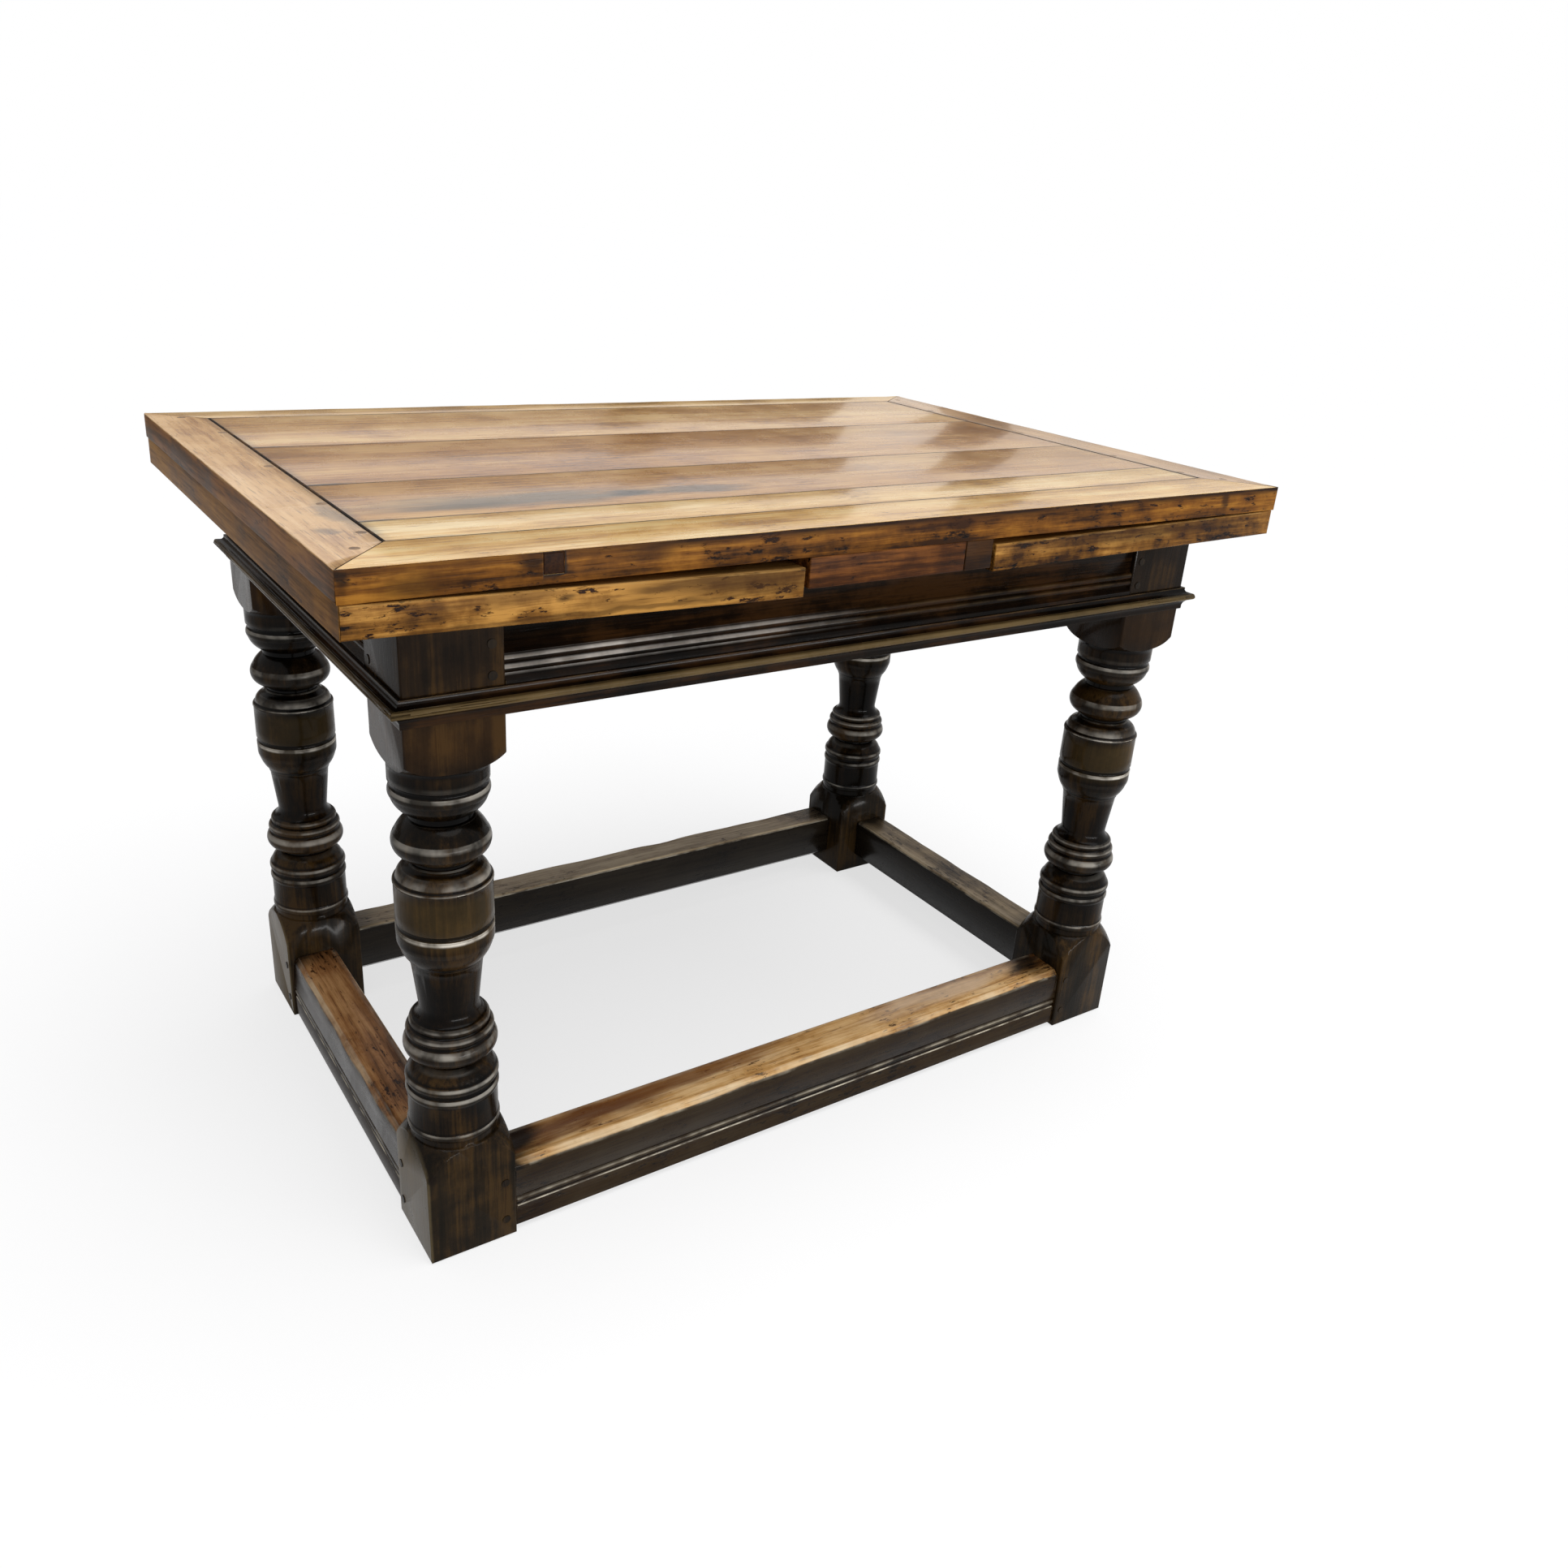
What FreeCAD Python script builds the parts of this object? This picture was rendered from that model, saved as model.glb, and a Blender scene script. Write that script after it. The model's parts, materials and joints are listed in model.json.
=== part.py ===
import FreeCAD, Part
import math
import os

V = FreeCAD.Vector

# Draw-leaf table in oak, in millimetres. X runs along the table, Y from front to rear and Z up.
# The origin lies on the floor under the middle of the top.

# The loose top: two end clamps and two rails, mitred round lengthwise boards
top_length = 1150.0
top_depth = 752.0
top_height = 780.0
top_thickness = 28.5
clamp_width = 62.0
front_rail_width = 72.0
rear_rail_width = 52.0
top_board_shares = (0.113, 0.250, 0.325, 0.312)
board_gap = 0.8
tongue_thickness = 9.0
tongue_length = 14.0
corner_tenon_margin = 15.0
panel_peg_radius = 4.5
corner_peg_across_share = 0.45
corner_peg_back_share = 0.2

# A square plug let into the front rail's edge
edge_plug_width = 18.5
edge_plug_height = 18.0
edge_plug_depth = 12.0
edge_plug_skin = 2.0
edge_plug_offset = 393.0

# Two guide pegs under the top drop through the centre board
guide_peg_radius = 9.0
guide_peg_spread = 260.0
guide_peg_socket = 17.0
guide_peg_drop = 15.0

# The two leaves, which lean a little: their inner ends hang lower than their outer ends
leaf_thickness = 29.0
leaf_gap = 0.6
left_leaf_inset = 1.5
right_leaf_inset = 2.5
left_leaf_droop = 9.5
right_leaf_droop = 6.5
leaf_middle_width = 196.0
leaf_end_gap = 4.5

# Lopers carry the leaves and slide through the frame
loper_width = 40.0
loper_depth = 45.0
loper_inset = 30.0
loper_end_gap = 50.0
loper_nose = 18.0
loper_bevel = 32.0
left_loper_spread = 120.0
right_loper_spread = 185.0
loper_peg_radius = 5.0
loper_peg_sink = 28.0
loper_peg_shares = (0.3, 0.8)

# The fixed centre board, with a narrow strip beside it, lies on two bearers between the leaves
centre_board_thickness = 31.5
centre_board_width = 197.5
centre_strip_width = 37.0
centre_offset = -10.0
centre_peg_radius = 5.0
centre_peg_sink = 26.0
centre_peg_inner = 60.0
centre_peg_outer = 235.0
bearer_width = 50.0
bearer_offset = 80.0
bearer_web = 25.0
bearer_tenon_length = 16.0
bearer_tenon_thickness = 20.0
bearer_tenon_height = 36.0

# Frame: square legs joined by aprons above and by stretchers near the floor
frame_length = 1018.0
frame_depth = 625.0
leg_size = 97.0
leaf_clearance = 1.2
block_height = 126.0
capital_shoulder = 22.0
foot_square = 92.0
foot_shoulder = 46.0
block_reach_share = 0.75
foot_bulge_share = 0.08
capital_bulge_share = 0.12

# The turned leg from foot to capital. Each row is where a stretch ends: its height as a share of the
# turned length, its radius as a share of half the leg's size, and how far the stretch swells (or, when
# negative, hollows) as a share of its own length.
turned_leg_shares = (
    # base drum with its beads
    (0.002, 0.950, 0.00), (0.019, 0.950, 0.00), (0.021, 0.965, 0.00), (0.042, 0.965, 0.14),
    (0.046, 0.957, 0.00), (0.118, 0.957, 0.00), (0.120, 0.961, 0.00), (0.141, 0.961, 0.16),
    (0.145, 0.928, 0.00), (0.151, 0.928, 0.00), (0.153, 0.955, 0.00), (0.176, 0.955, 0.18),
    (0.179, 0.932, 0.00), (0.212, 0.680, 0.10), (0.214, 0.639, 0.00), (0.226, 0.629, 0.00),
    # three beads that shrink upwards
    (0.230, 0.835, 0.00), (0.283, 0.897, 0.26), (0.287, 0.880, 0.00), (0.310, 0.840, 0.30),
    (0.313, 0.810, 0.00), (0.333, 0.763, 0.30), (0.335, 0.732, 0.00), (0.365, 0.625, -0.12),
    # tapered column, cup and grooved drum
    (0.488, 0.742, 0.00), (0.489, 0.763, 0.00), (0.495, 0.771, 0.00), (0.536, 0.957, 0.06),
    (0.555, 0.992, 0.06), (0.583, 0.994, 0.00), (0.587, 0.955, 0.00), (0.596, 0.955, 0.00),
    (0.600, 0.994, 0.00), (0.696, 0.990, 0.00), (0.707, 0.969, 0.25), (0.709, 0.944, 0.00),
    (0.734, 0.815, 0.12), (0.748, 0.670, -0.10), (0.750, 0.629, 0.00), (0.756, 0.629, 0.00),
    # ring, neck and bowl under the capital
    (0.767, 0.773, 0.00), (0.825, 0.920, 0.25), (0.858, 0.691, 0.06), (0.861, 0.649, 0.00),
    (0.873, 0.649, 0.00), (0.875, 0.691, 0.00), (0.913, 0.955, 0.10), (0.915, 0.961, 0.00),
    (0.938, 0.965, 0.15), (0.942, 0.934, 0.00), (0.950, 0.934, 0.00), (0.954, 0.984, 0.00),
    (1.000, 0.986, 0.00),
)

# Aprons, with a set-back frieze and two reeds worked on the face
apron_height = 96.0
apron_thickness = 34.0
apron_setback = 5.0
frieze_height = 41.0
reed_count = 2
reed_height = 9.0
reed_swell = 3.5
reed_splay = 6.0
apron_tenon_thickness = 14.0
apron_tenon_top = 16.0
apron_tenon_height = 62.0

# Base moulding planted round the foot of the aprons and over the leg blocks
moulding_height = 28.0
moulding_projection = 14.0
moulding_fillet = 3.5
moulding_nose = 8.0
moulding_nose_rise = 13.0
moulding_lip = 3.0
moulding_cove_share = 0.18
half_round_share = 0.5

# Stretchers, with a bead run along the outer face, rubbed top corners and a hewn-off inner lower corner
stretcher_height = 84.0
stretcher_width = 58.0
stretcher_inset = 4.0
stretcher_lift = 8.0
outer_rub_height = 12.0
outer_rub_width = 8.0
inner_rub = 4.0
rub_swell_share = 0.15
hewn_height = 22.0
hewn_width = 31.0
bead_height = 9.0
bead_rise = 28.0
bead_quirk = 3.0
stretcher_tenon_thickness = 18.0
stretcher_tenon_inset = 8.0
stretcher_tenon_height = 64.0

# Draw pegs of the aprons and stretchers
draw_peg_radius = 4.5
draw_peg_inset = 12.0
draw_peg_proud = 0.8
draw_peg_past = 10.0
apron_peg_spread = 30.0
stretcher_peg_spread = 50.0

# Clearances
joint_slack = 0.2
peg_slack = 0.15
running_gap = 0.3
side_gap = 0.9
guide_gap = 0.6
tenon_gap = 6.0
overrun = 5.0

# Places that follow from the sizes
half_length = top_length / 2
half_depth = top_depth / 2
half_frame_x = frame_length / 2
half_frame_y = frame_depth / 2
boards_front = front_rail_width - half_depth
boards_rear = half_depth - rear_rail_width
clear_x = half_frame_x - leg_size
clear_y = half_frame_y - leg_size
top_under = top_height - top_thickness
leaf_top = top_under - leaf_gap
frame_top = leaf_top - leaf_thickness - max(left_leaf_droop, right_leaf_droop) - leaf_clearance
apron_low = frame_top - apron_height
loper_low = frame_top - loper_depth
centre_low = top_under - centre_board_thickness
centre_left = centre_offset - (centre_board_width + board_gap + centre_strip_width) / 2
centre_joint = centre_left + centre_board_width
centre_right = centre_joint + board_gap + centre_strip_width
turned_low = foot_square + foot_shoulder
capital_high = frame_top - block_height
turned_high = capital_high - capital_shoulder
stretcher_top = stretcher_lift + stretcher_height

# Each side's own values: which way its leaf is drawn, and where its leaf and lopers lie
SIDES = {
    "left": (-1, left_leaf_inset, left_leaf_droop, centre_left - leaf_end_gap, left_loper_spread),
    "right": (1, right_leaf_inset, right_leaf_droop, centre_right + leaf_end_gap, right_loper_spread),
}


def block(x_pair, y_pair, z_pair):
    """A box between pairs of opposite faces, given in either order."""
    low = V(min(x_pair), min(y_pair), min(z_pair))
    high = V(max(x_pair), max(y_pair), max(z_pair))
    size = high - low
    return Part.makeBox(size.x, size.y, size.z, low)


def plan_prism(outline, z_pair):
    """A plan outline of (x, y) points raised between two heights."""
    points = [V(x, y, z_pair[0]) for x, y in outline]
    face = Part.Face(Part.makePolygon(points + points[:1]))
    return face.extrude(V(0, 0, z_pair[1] - z_pair[0]))


def side_prism(outline, y_pair):
    """A side outline of (x, z) points carried between two depths."""
    points = [V(x, y_pair[0], z) for x, z in outline]
    face = Part.Face(Part.makePolygon(points + points[:1]))
    return face.extrude(V(0, y_pair[1] - y_pair[0], 0))


def stretch(start, end, swell, across):
    """An edge that swells by a share of its length, in the plane square to the given direction."""
    if swell == 0:
        return Part.LineSegment(start, end).toShape()
    out = (end - start).cross(across)
    return Part.Arc(start, (start + end) / 2 + out * swell, end).toShape()


def peg(x, y, z_pair, radius):
    """An upright round peg."""
    return Part.makeCylinder(radius, z_pair[1] - z_pair[0], V(x, y, z_pair[0]))


def turn_quarters(shape, quarters):
    """A copy turned about the table's upright axis: -1 to the left, 1 to the right, 2 to the rear."""
    turned = shape.copy()
    turned.rotate(V(0, 0, 0), V(0, 0, 1), quarters * 90)
    return turned


def save(node, solids):
    shape = solids[0] if len(solids) == 1 else Part.makeCompound(solids)
    shape.exportStep("parts/" + node + ".step")


def section_bar(points_and_swells, x_pair):
    """A bar along X whose section is a closed run of ((y, z), swell) stretches."""
    places = [V(x_pair[0], y, z) for (y, z), _ in points_and_swells]
    edges = []
    for index, (_, swell) in enumerate(points_and_swells):
        edges.append(stretch(places[index - 1], places[index], swell, V(1, 0, 0)))
    return Part.Face(Part.Wire(edges)).extrude(V(x_pair[1] - x_pair[0], 0, 0))


def tenon_length(inset, thickness, tenon_thickness):
    """Stops short of the tenon that enters the same leg from the other side."""
    return leg_size - inset - (thickness + tenon_thickness) / 2 - tenon_gap


def tenon(end, span, face, inset, thickness, tenon_thickness, z_pair, slack):
    """The tenon at one end of a front bar, grown by a slack for its mortise."""
    length = tenon_length(inset, thickness, tenon_thickness) + slack
    middle = inset + thickness / 2 - face
    half = tenon_thickness / 2 + slack
    root = span - overrun if slack else span
    return block((end * root, end * (span + length)), (middle - half, middle + half),
                 (z_pair[0] - slack, z_pair[1] + slack))


def draw_pegs(end, span, face, inset, thickness, tenon_thickness, heights, slack):
    """The two pegs that hold one tenon, driven from the leg's outer face."""
    depth = inset + (thickness + tenon_thickness) / 2 + draw_peg_past + slack
    x = end * (span + draw_peg_inset)
    start = -face - draw_peg_proud
    radius = draw_peg_radius + slack
    length = depth + draw_peg_proud
    return [Part.makeCylinder(radius, length, V(x, start, z), V(0, 1, 0)) for z in heights]


def apron_joint(end, span, face, slack):
    high = frame_top - apron_tenon_top
    pair = (high - apron_tenon_height, high)
    return tenon(end, span, face, 0, apron_thickness, apron_tenon_thickness, pair, slack)


def apron_pegs(end, span, face, slack):
    high = frame_top - apron_tenon_top - draw_peg_inset
    heights = (high - apron_peg_spread, high)
    return draw_pegs(end, span, face, 0, apron_thickness, apron_tenon_thickness, heights, slack)


def stretcher_joint(end, span, face, slack):
    middle = stretcher_lift + stretcher_height / 2
    pair = (middle - stretcher_tenon_height / 2, middle + stretcher_tenon_height / 2)
    inset = stretcher_inset + stretcher_tenon_inset
    return tenon(end, span, face, inset, stretcher_tenon_thickness, stretcher_tenon_thickness,
                 pair, slack)


def stretcher_pegs(end, span, face, slack):
    middle = stretcher_lift + stretcher_height / 2
    heights = (middle - stretcher_peg_spread / 2, middle + stretcher_peg_spread / 2)
    inset = stretcher_inset + stretcher_tenon_inset
    return draw_pegs(end, span, face, inset, stretcher_tenon_thickness, stretcher_tenon_thickness,
                     heights, slack)


def joint_cutters(slack):
    """What the front left leg gives up to the bars that meet it from the right and from the rear."""
    cutters = []
    for joint, pegs in ((apron_joint, apron_pegs), (stretcher_joint, stretcher_pegs)):
        along = [joint(-1, clear_x, half_frame_y, slack)] + pegs(-1, clear_x, half_frame_y, peg_slack)
        across = [joint(1, clear_y, half_frame_x, slack)] + pegs(1, clear_y, half_frame_x, peg_slack)
        cutters += along + [turn_quarters(shape, -1) for shape in across]
    return cutters


def turned_leg():
    """One leg: a square billet turned between its foot and its capital."""
    half = leg_size / 2
    reach = leg_size * block_reach_share
    turned_length = turned_high - turned_low
    run = [(V(reach, 0, 0), 0), (V(reach, 0, foot_square), 0)]
    run.append((V(half, 0, turned_low), foot_bulge_share))
    for height_share, radius_share, swell_share in turned_leg_shares:
        height = turned_low + turned_length * height_share
        run.append((V(half * radius_share, 0, height), swell_share))
    run += [(V(reach, 0, capital_high), capital_bulge_share), (V(reach, 0, frame_top), 0)]
    run += [(V(0, 0, frame_top), 0), (V(0, 0, 0), 0)]
    edges = []
    place = V(0, 0, 0)
    for end, swell in run:
        edges.append(stretch(place, end, swell, V(0, -1, 0)))
        place = end
    spindle = Part.Face(Part.Wire(edges)).revolve(V(0, 0, 0), V(0, 0, 1), 360)
    billet = block((-half, half), (-half, half), (0, frame_top))
    leg = billet.common(spindle)
    leg.translate(V(half - half_frame_x, half - half_frame_y, 0))
    return leg.cut(joint_cutters(joint_slack))


def legs():
    front_left = turned_leg()
    front_right = front_left.mirror(V(0, 0, 0), V(1, 0, 0))
    save("leg_front_left", [front_left])
    save("leg_front_right", [front_right])
    save("leg_rear_left", [front_left.mirror(V(0, 0, 0), V(0, 1, 0))])
    save("leg_rear_right", [front_right.mirror(V(0, 0, 0), V(0, 1, 0))])


def apron_bar(span, face):
    """An apron along the front: a set-back frieze, reeds, and a flush band for the base moulding."""
    back = apron_thickness - face
    field = apron_setback - face
    height = frame_top - frieze_height
    run = [((back, apron_low), 0), ((back, frame_top), 0), ((field, frame_top), 0), ((field, height), 0)]
    for _ in range(reed_count):
        height -= reed_height
        run.append(((field, height), reed_swell / reed_height))
    run.append(((-face, height - reed_splay), 0))
    run.append(((-face, apron_low), 0))
    bar = section_bar(run, (-span, span))
    for end in (-1, 1):
        bar = bar.fuse(apron_joint(end, span, face, 0))
        bar = bar.cut(apron_pegs(end, span, face, peg_slack))
    return bar.removeSplitter()


def bearer_tenon(side, end, slack):
    """A bearer's tenon in the front (end -1) or rear (end 1) apron."""
    shoulder = half_frame_y - apron_thickness
    root = shoulder - overrun if slack else shoulder
    half = bearer_tenon_thickness / 2 + slack
    middle_z = (loper_low - bearer_web + frame_top) / 2
    half_z = bearer_tenon_height / 2 + slack
    x = side * bearer_offset
    return block((x - half, x + half), (end * root, end * (shoulder + bearer_tenon_length + slack)),
                 (middle_z - half_z, middle_z + half_z))


def aprons():
    front = apron_bar(clear_x, half_frame_y)
    front = front.cut([bearer_tenon(side, -1, joint_slack) for side in (-1, 1)])
    save("apron_front", [front])
    save("apron_rear", [turn_quarters(front, 2)])
    for name, (side, _, _, _, spread) in SIDES.items():
        bar = turn_quarters(apron_bar(clear_y, half_frame_x), side)
        reach = (side * (half_frame_x - apron_thickness - overrun), side * (half_frame_x + overrun))
        save("apron_" + name, [bar.cut(loper_slots(spread, reach, frame_top + overrun))])


def moulding_bar(span, face):
    """A base moulding along the front: cove, nose and fillet, mitred at both ends."""
    low = apron_low
    top = low + moulding_height
    nose_low = low + moulding_nose_rise
    nose_high = nose_low + moulding_nose
    wide = -face - moulding_projection
    neck = wide + moulding_nose / 2
    fillet = -face - moulding_fillet
    lip = -face - moulding_lip
    run = [((-face, low), 0), ((-face, top), 0), ((fillet, top), 0), ((fillet, top - moulding_lip), 0),
           ((neck, nose_high), -moulding_cove_share), ((neck, nose_low), half_round_share),
           ((lip, low + moulding_lip), -moulding_cove_share), ((lip, low), 0)]
    far = moulding_projection
    bar = section_bar(run, (-span - far, span + far))
    mitred = [(-span, -face), (span, -face), (span + far, -face - far), (-span - far, -face - far)]
    return bar.common(plan_prism(mitred, (low - overrun, top + overrun)))


def mouldings():
    along = moulding_bar(half_frame_x, half_frame_y)
    across = moulding_bar(half_frame_y, half_frame_x)
    save("moulding_front", [along])
    save("moulding_rear", [turn_quarters(along, 2)])
    save("moulding_left", [turn_quarters(across, -1)])
    save("moulding_right", [turn_quarters(across, 1)])


def stretcher_bar(span, face):
    """A stretcher along the front, with a quirked bead on its outer face and rounded top corners."""
    out = stretcher_inset - face
    back = out + stretcher_width
    bead_low = stretcher_lift + bead_rise
    bead_high = bead_low + bead_height
    sunk = out + bead_quirk
    run = [((back - hewn_width, stretcher_lift), 0), ((back, stretcher_lift + hewn_height), 0),
           ((back, stretcher_top - inner_rub), 0), ((back - inner_rub, stretcher_top), rub_swell_share),
           ((out + outer_rub_width, stretcher_top), 0),
           ((out, stretcher_top - outer_rub_height), rub_swell_share),
           ((out, bead_high + bead_quirk), 0), ((sunk, bead_high), 0),
           ((sunk, bead_low), bead_quirk / bead_height), ((out, bead_low - bead_quirk), 0),
           ((out, stretcher_lift), 0)]
    bar = section_bar(run, (-span, span))
    for end in (-1, 1):
        bar = bar.fuse(stretcher_joint(end, span, face, 0))
        bar = bar.cut(stretcher_pegs(end, span, face, peg_slack))
    return bar.removeSplitter()


def stretchers():
    along = stretcher_bar(clear_x, half_frame_y)
    across = stretcher_bar(clear_y, half_frame_x)
    save("stretcher_front", [along])
    save("stretcher_rear", [turn_quarters(along, 2)])
    save("stretcher_left", [turn_quarters(across, -1)])
    save("stretcher_right", [turn_quarters(across, 1)])


def frame_pegs():
    for node, pegs in (("apron_pegs", apron_pegs), ("stretcher_pegs", stretcher_pegs)):
        solids = []
        for end in (-1, 1):
            along = pegs(end, clear_x, half_frame_y, 0)
            across = pegs(end, clear_y, half_frame_x, 0)
            solids += along + [turn_quarters(shape, 2) for shape in along]
            solids += [turn_quarters(shape, side) for shape in across for side in (-1, 1)]
        save(node, solids)


def loper_slots(spread, x_pair, top):
    """Room for one leaf's two lopers to slide through, up to a given height."""
    half = loper_width / 2 + side_gap
    z_pair = (loper_low - running_gap, top)
    return [block(x_pair, (y - half, y + half), z_pair) for y in (-spread, spread)]


def centre_pegs(slack):
    """Pegs down through the centre board and its strip into the bearers."""
    board_x = (bearer_offset - bearer_width / 2 + centre_joint) / 2
    strip_x = (centre_joint + board_gap + centre_right) / 2
    places = ((-bearer_offset, centre_peg_outer), (board_x, centre_peg_inner),
              (strip_x, centre_peg_outer))
    pair = (centre_low - centre_peg_sink, top_under)
    radius = centre_peg_radius + slack
    return [peg(x, y, pair, radius) for x, spread in places for y in (-spread, spread)]


def bearers():
    half_y = half_frame_y - apron_thickness
    for name, (side, _, _, _, _) in SIDES.items():
        x_pair = (side * bearer_offset - bearer_width / 2, side * bearer_offset + bearer_width / 2)
        bar = block(x_pair, (-half_y, half_y), (loper_low - bearer_web, centre_low))
        for end in (-1, 1):
            bar = bar.fuse(bearer_tenon(side, end, 0))
        through = (x_pair[0] - overrun, x_pair[1] + overrun)
        for spread in (left_loper_spread, right_loper_spread):
            bar = bar.cut(loper_slots(spread, through, frame_top + running_gap))
        save("bearer_" + name, [bar.cut(centre_pegs(peg_slack)).removeSplitter()])


def guide_pegs(slack):
    """Pegs set in the top, grown by a slack for their sockets and their holes in the centre board."""
    pair = (centre_low - guide_peg_drop, top_under + guide_peg_socket)
    middle = (centre_left + centre_joint) / 2
    radius = guide_peg_radius + slack
    return [peg(middle, y, pair, radius) for y in (-guide_peg_spread, guide_peg_spread)]


def centre():
    depth = (-half_depth, half_depth)
    height = (centre_low, top_under)
    holes = centre_pegs(peg_slack)
    board = block((centre_left, centre_joint), depth, height).cut(holes)
    save("centre_board", [board.cut(guide_pegs(guide_gap))])
    save("centre_strip", [block((centre_joint + board_gap, centre_right), depth, height).cut(holes)])
    save("centre_pegs", centre_pegs(0))


def board_ends(x_pair, clamped):
    """Where the boards of a framed panel end: at its clamps, or at an end that has none."""
    inner_x = list(x_pair)
    for end, inward in enumerate((1, -1)):
        if clamped[end]:
            inner_x[end] += inward * clamp_width
    return inner_x


def corner_tenon(x_end, x_inner, y_edge, y_inner, z_middle, slack):
    """A rail's tongue across the mitre into a clamp."""
    x_stop = x_end + math.copysign(corner_tenon_margin - slack, x_inner - x_end)
    y_stop = y_edge + math.copysign(corner_tenon_margin - slack, y_inner - y_edge)
    half = tongue_thickness / 2 + slack
    return block((x_stop, x_inner), (y_stop, y_inner), (z_middle - half, z_middle + half))


def panel_clamp(x_end, x_inner, z_pair):
    return plan_prism([(x_end, -half_depth), (x_inner, boards_front), (x_inner, boards_rear),
                       (x_end, half_depth)], z_pair)


def panel_pegs(x_pair, clamped, seams, z_pair, slack):
    """Pegs through each clamp: one in every board's tongue and one in each rail's corner tongue."""
    places = []
    for x_end, x_inner, clamp in zip(x_pair, board_ends(x_pair, clamped), clamped):
        if not clamp:
            continue
        outward = math.copysign(1, x_end - x_inner)
        corner_x = x_inner + outward * clamp_width * corner_peg_across_share
        places.append((corner_x, boards_front - front_rail_width * corner_peg_back_share))
        places.append((corner_x, boards_rear + rear_rail_width * corner_peg_back_share))
        for low, high in zip(seams, seams[1:]):
            places.append((x_inner + outward * tongue_length / 2, (low + high) / 2))
    return [peg(x, y, z_pair, panel_peg_radius + slack) for x, y in places]


def framed_panel(x_pair, clamped, seams, z_pair):
    """Rails, clamps and tongued boards of the top or of a leaf, lying level."""
    inner_x = board_ends(x_pair, clamped)
    z_middle = sum(z_pair) / 2
    holes = panel_pegs(x_pair, clamped, seams, z_pair, peg_slack)
    pieces = {}
    rails = (("front_rail", -half_depth, boards_front), ("rear_rail", half_depth, boards_rear))
    for name, y_edge, y_inner in rails:
        outline = [(x_pair[0], y_edge), (x_pair[1], y_edge),
                   (inner_x[1], y_inner), (inner_x[0], y_inner)]
        pieces[name] = plan_prism(outline, z_pair)
    half = tongue_thickness / 2
    groove_z = (z_middle - half - joint_slack, z_middle + half + joint_slack)
    board_x = list(inner_x)
    tongue_x = list(inner_x)
    for end, name in enumerate(("left_clamp", "right_clamp")):
        if not clamped[end]:
            continue
        x_end = x_pair[end]
        x_inner = inner_x[end]
        outward = math.copysign(1, x_end - x_inner)
        clamp = panel_clamp(x_end, x_inner, z_pair)
        for rail, y_edge, y_inner in rails:
            tongue = corner_tenon(x_end, x_inner, y_edge, y_inner, z_middle, 0).common(clamp)
            pieces[rail] = pieces[rail].fuse(tongue).removeSplitter()
            clamp = clamp.cut(corner_tenon(x_end, x_inner, y_edge, y_inner, z_middle, joint_slack))
        tongue_x[end] = x_inner + outward * tongue_length
        board_x[end] = x_inner - outward * board_gap
        groove_end = tongue_x[end] + outward * joint_slack
        pieces[name] = clamp.cut(block((x_inner, groove_end), (boards_front, boards_rear), groove_z))
    for number, (low, high) in enumerate(zip(seams, seams[1:]), 1):
        y_pair = (low + board_gap / 2, high - board_gap / 2)
        tongue = block(tongue_x, y_pair, (z_middle - half, z_middle + half))
        board = block(board_x, y_pair, z_pair).fuse(tongue).removeSplitter()
        pieces["board_%d" % number] = board
    return {name: piece.cut(holes) for name, piece in pieces.items()}


def edge_plug(slack):
    """The plug in the front edge, grown by a slack for its recess."""
    half = edge_plug_width / 2 + slack
    high = top_height - edge_plug_skin
    front = -half_depth - overrun if slack else -half_depth
    back = edge_plug_depth + slack - half_depth
    return block((-edge_plug_offset - half, half - edge_plug_offset), (front, back),
                 (high - edge_plug_height - slack, high + slack))


def top():
    x_pair = (-half_length, half_length)
    z_pair = (top_under, top_height)
    clamped = (True, True)
    seams = [boards_front]
    for share in top_board_shares:
        seams.append(seams[-1] + (boards_rear - boards_front) * share)
    pieces = framed_panel(x_pair, clamped, seams, z_pair)
    pieces["front_rail"] = pieces["front_rail"].cut(edge_plug(joint_slack))
    for name, piece in pieces.items():
        save("top_" + name, [piece.cut(guide_pegs(peg_slack))])
    save("top_edge_plug", [edge_plug(0)])
    save("top_clamp_pegs", panel_pegs(x_pair, clamped, seams, z_pair, 0))
    save("top_guide_pegs", guide_pegs(0))


def leaf_lean(side, outer, inner, droop):
    """The angle in degrees that a leaf leans about the upper edge of its outer end."""
    return -side * math.degrees(math.asin(droop / abs(outer - inner)))


def leaf_point(side, outer, angle, along, below):
    """Where a point of a leaf lies, in (x, z), once the leaf leans."""
    turn = math.radians(angle)
    dx = -side * along
    return (outer + dx * math.cos(turn) - below * math.sin(turn),
            leaf_top - dx * math.sin(turn) - below * math.cos(turn))


def loper(side, outer, inner, angle, y):
    """One loper: level below, its top following the leaf and then dropping clear of the frame."""
    nose = leaf_point(side, outer, angle, loper_inset, leaf_thickness)
    heel = leaf_point(side, outer, angle, abs(outer - inner), leaf_thickness)
    far = -side * (half_frame_x - apron_thickness - loper_end_gap)
    outline = [nose, heel, (heel[0], frame_top), (far, frame_top), (far, loper_low),
               (nose[0] - side * loper_bevel, loper_low), (nose[0], nose[1] - loper_nose)]
    return side_prism(outline, (y - loper_width / 2, y + loper_width / 2))


def loper_pegs(side, outer, inner, spread, slack):
    """Pegs down through a leaf's boards into its lopers."""
    pair = (leaf_top - leaf_thickness - loper_peg_sink, leaf_top)
    length = abs(outer - inner)
    return [peg(outer - side * length * share, y, pair, loper_peg_radius + slack)
            for share in loper_peg_shares for y in (-spread, spread)]


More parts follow.
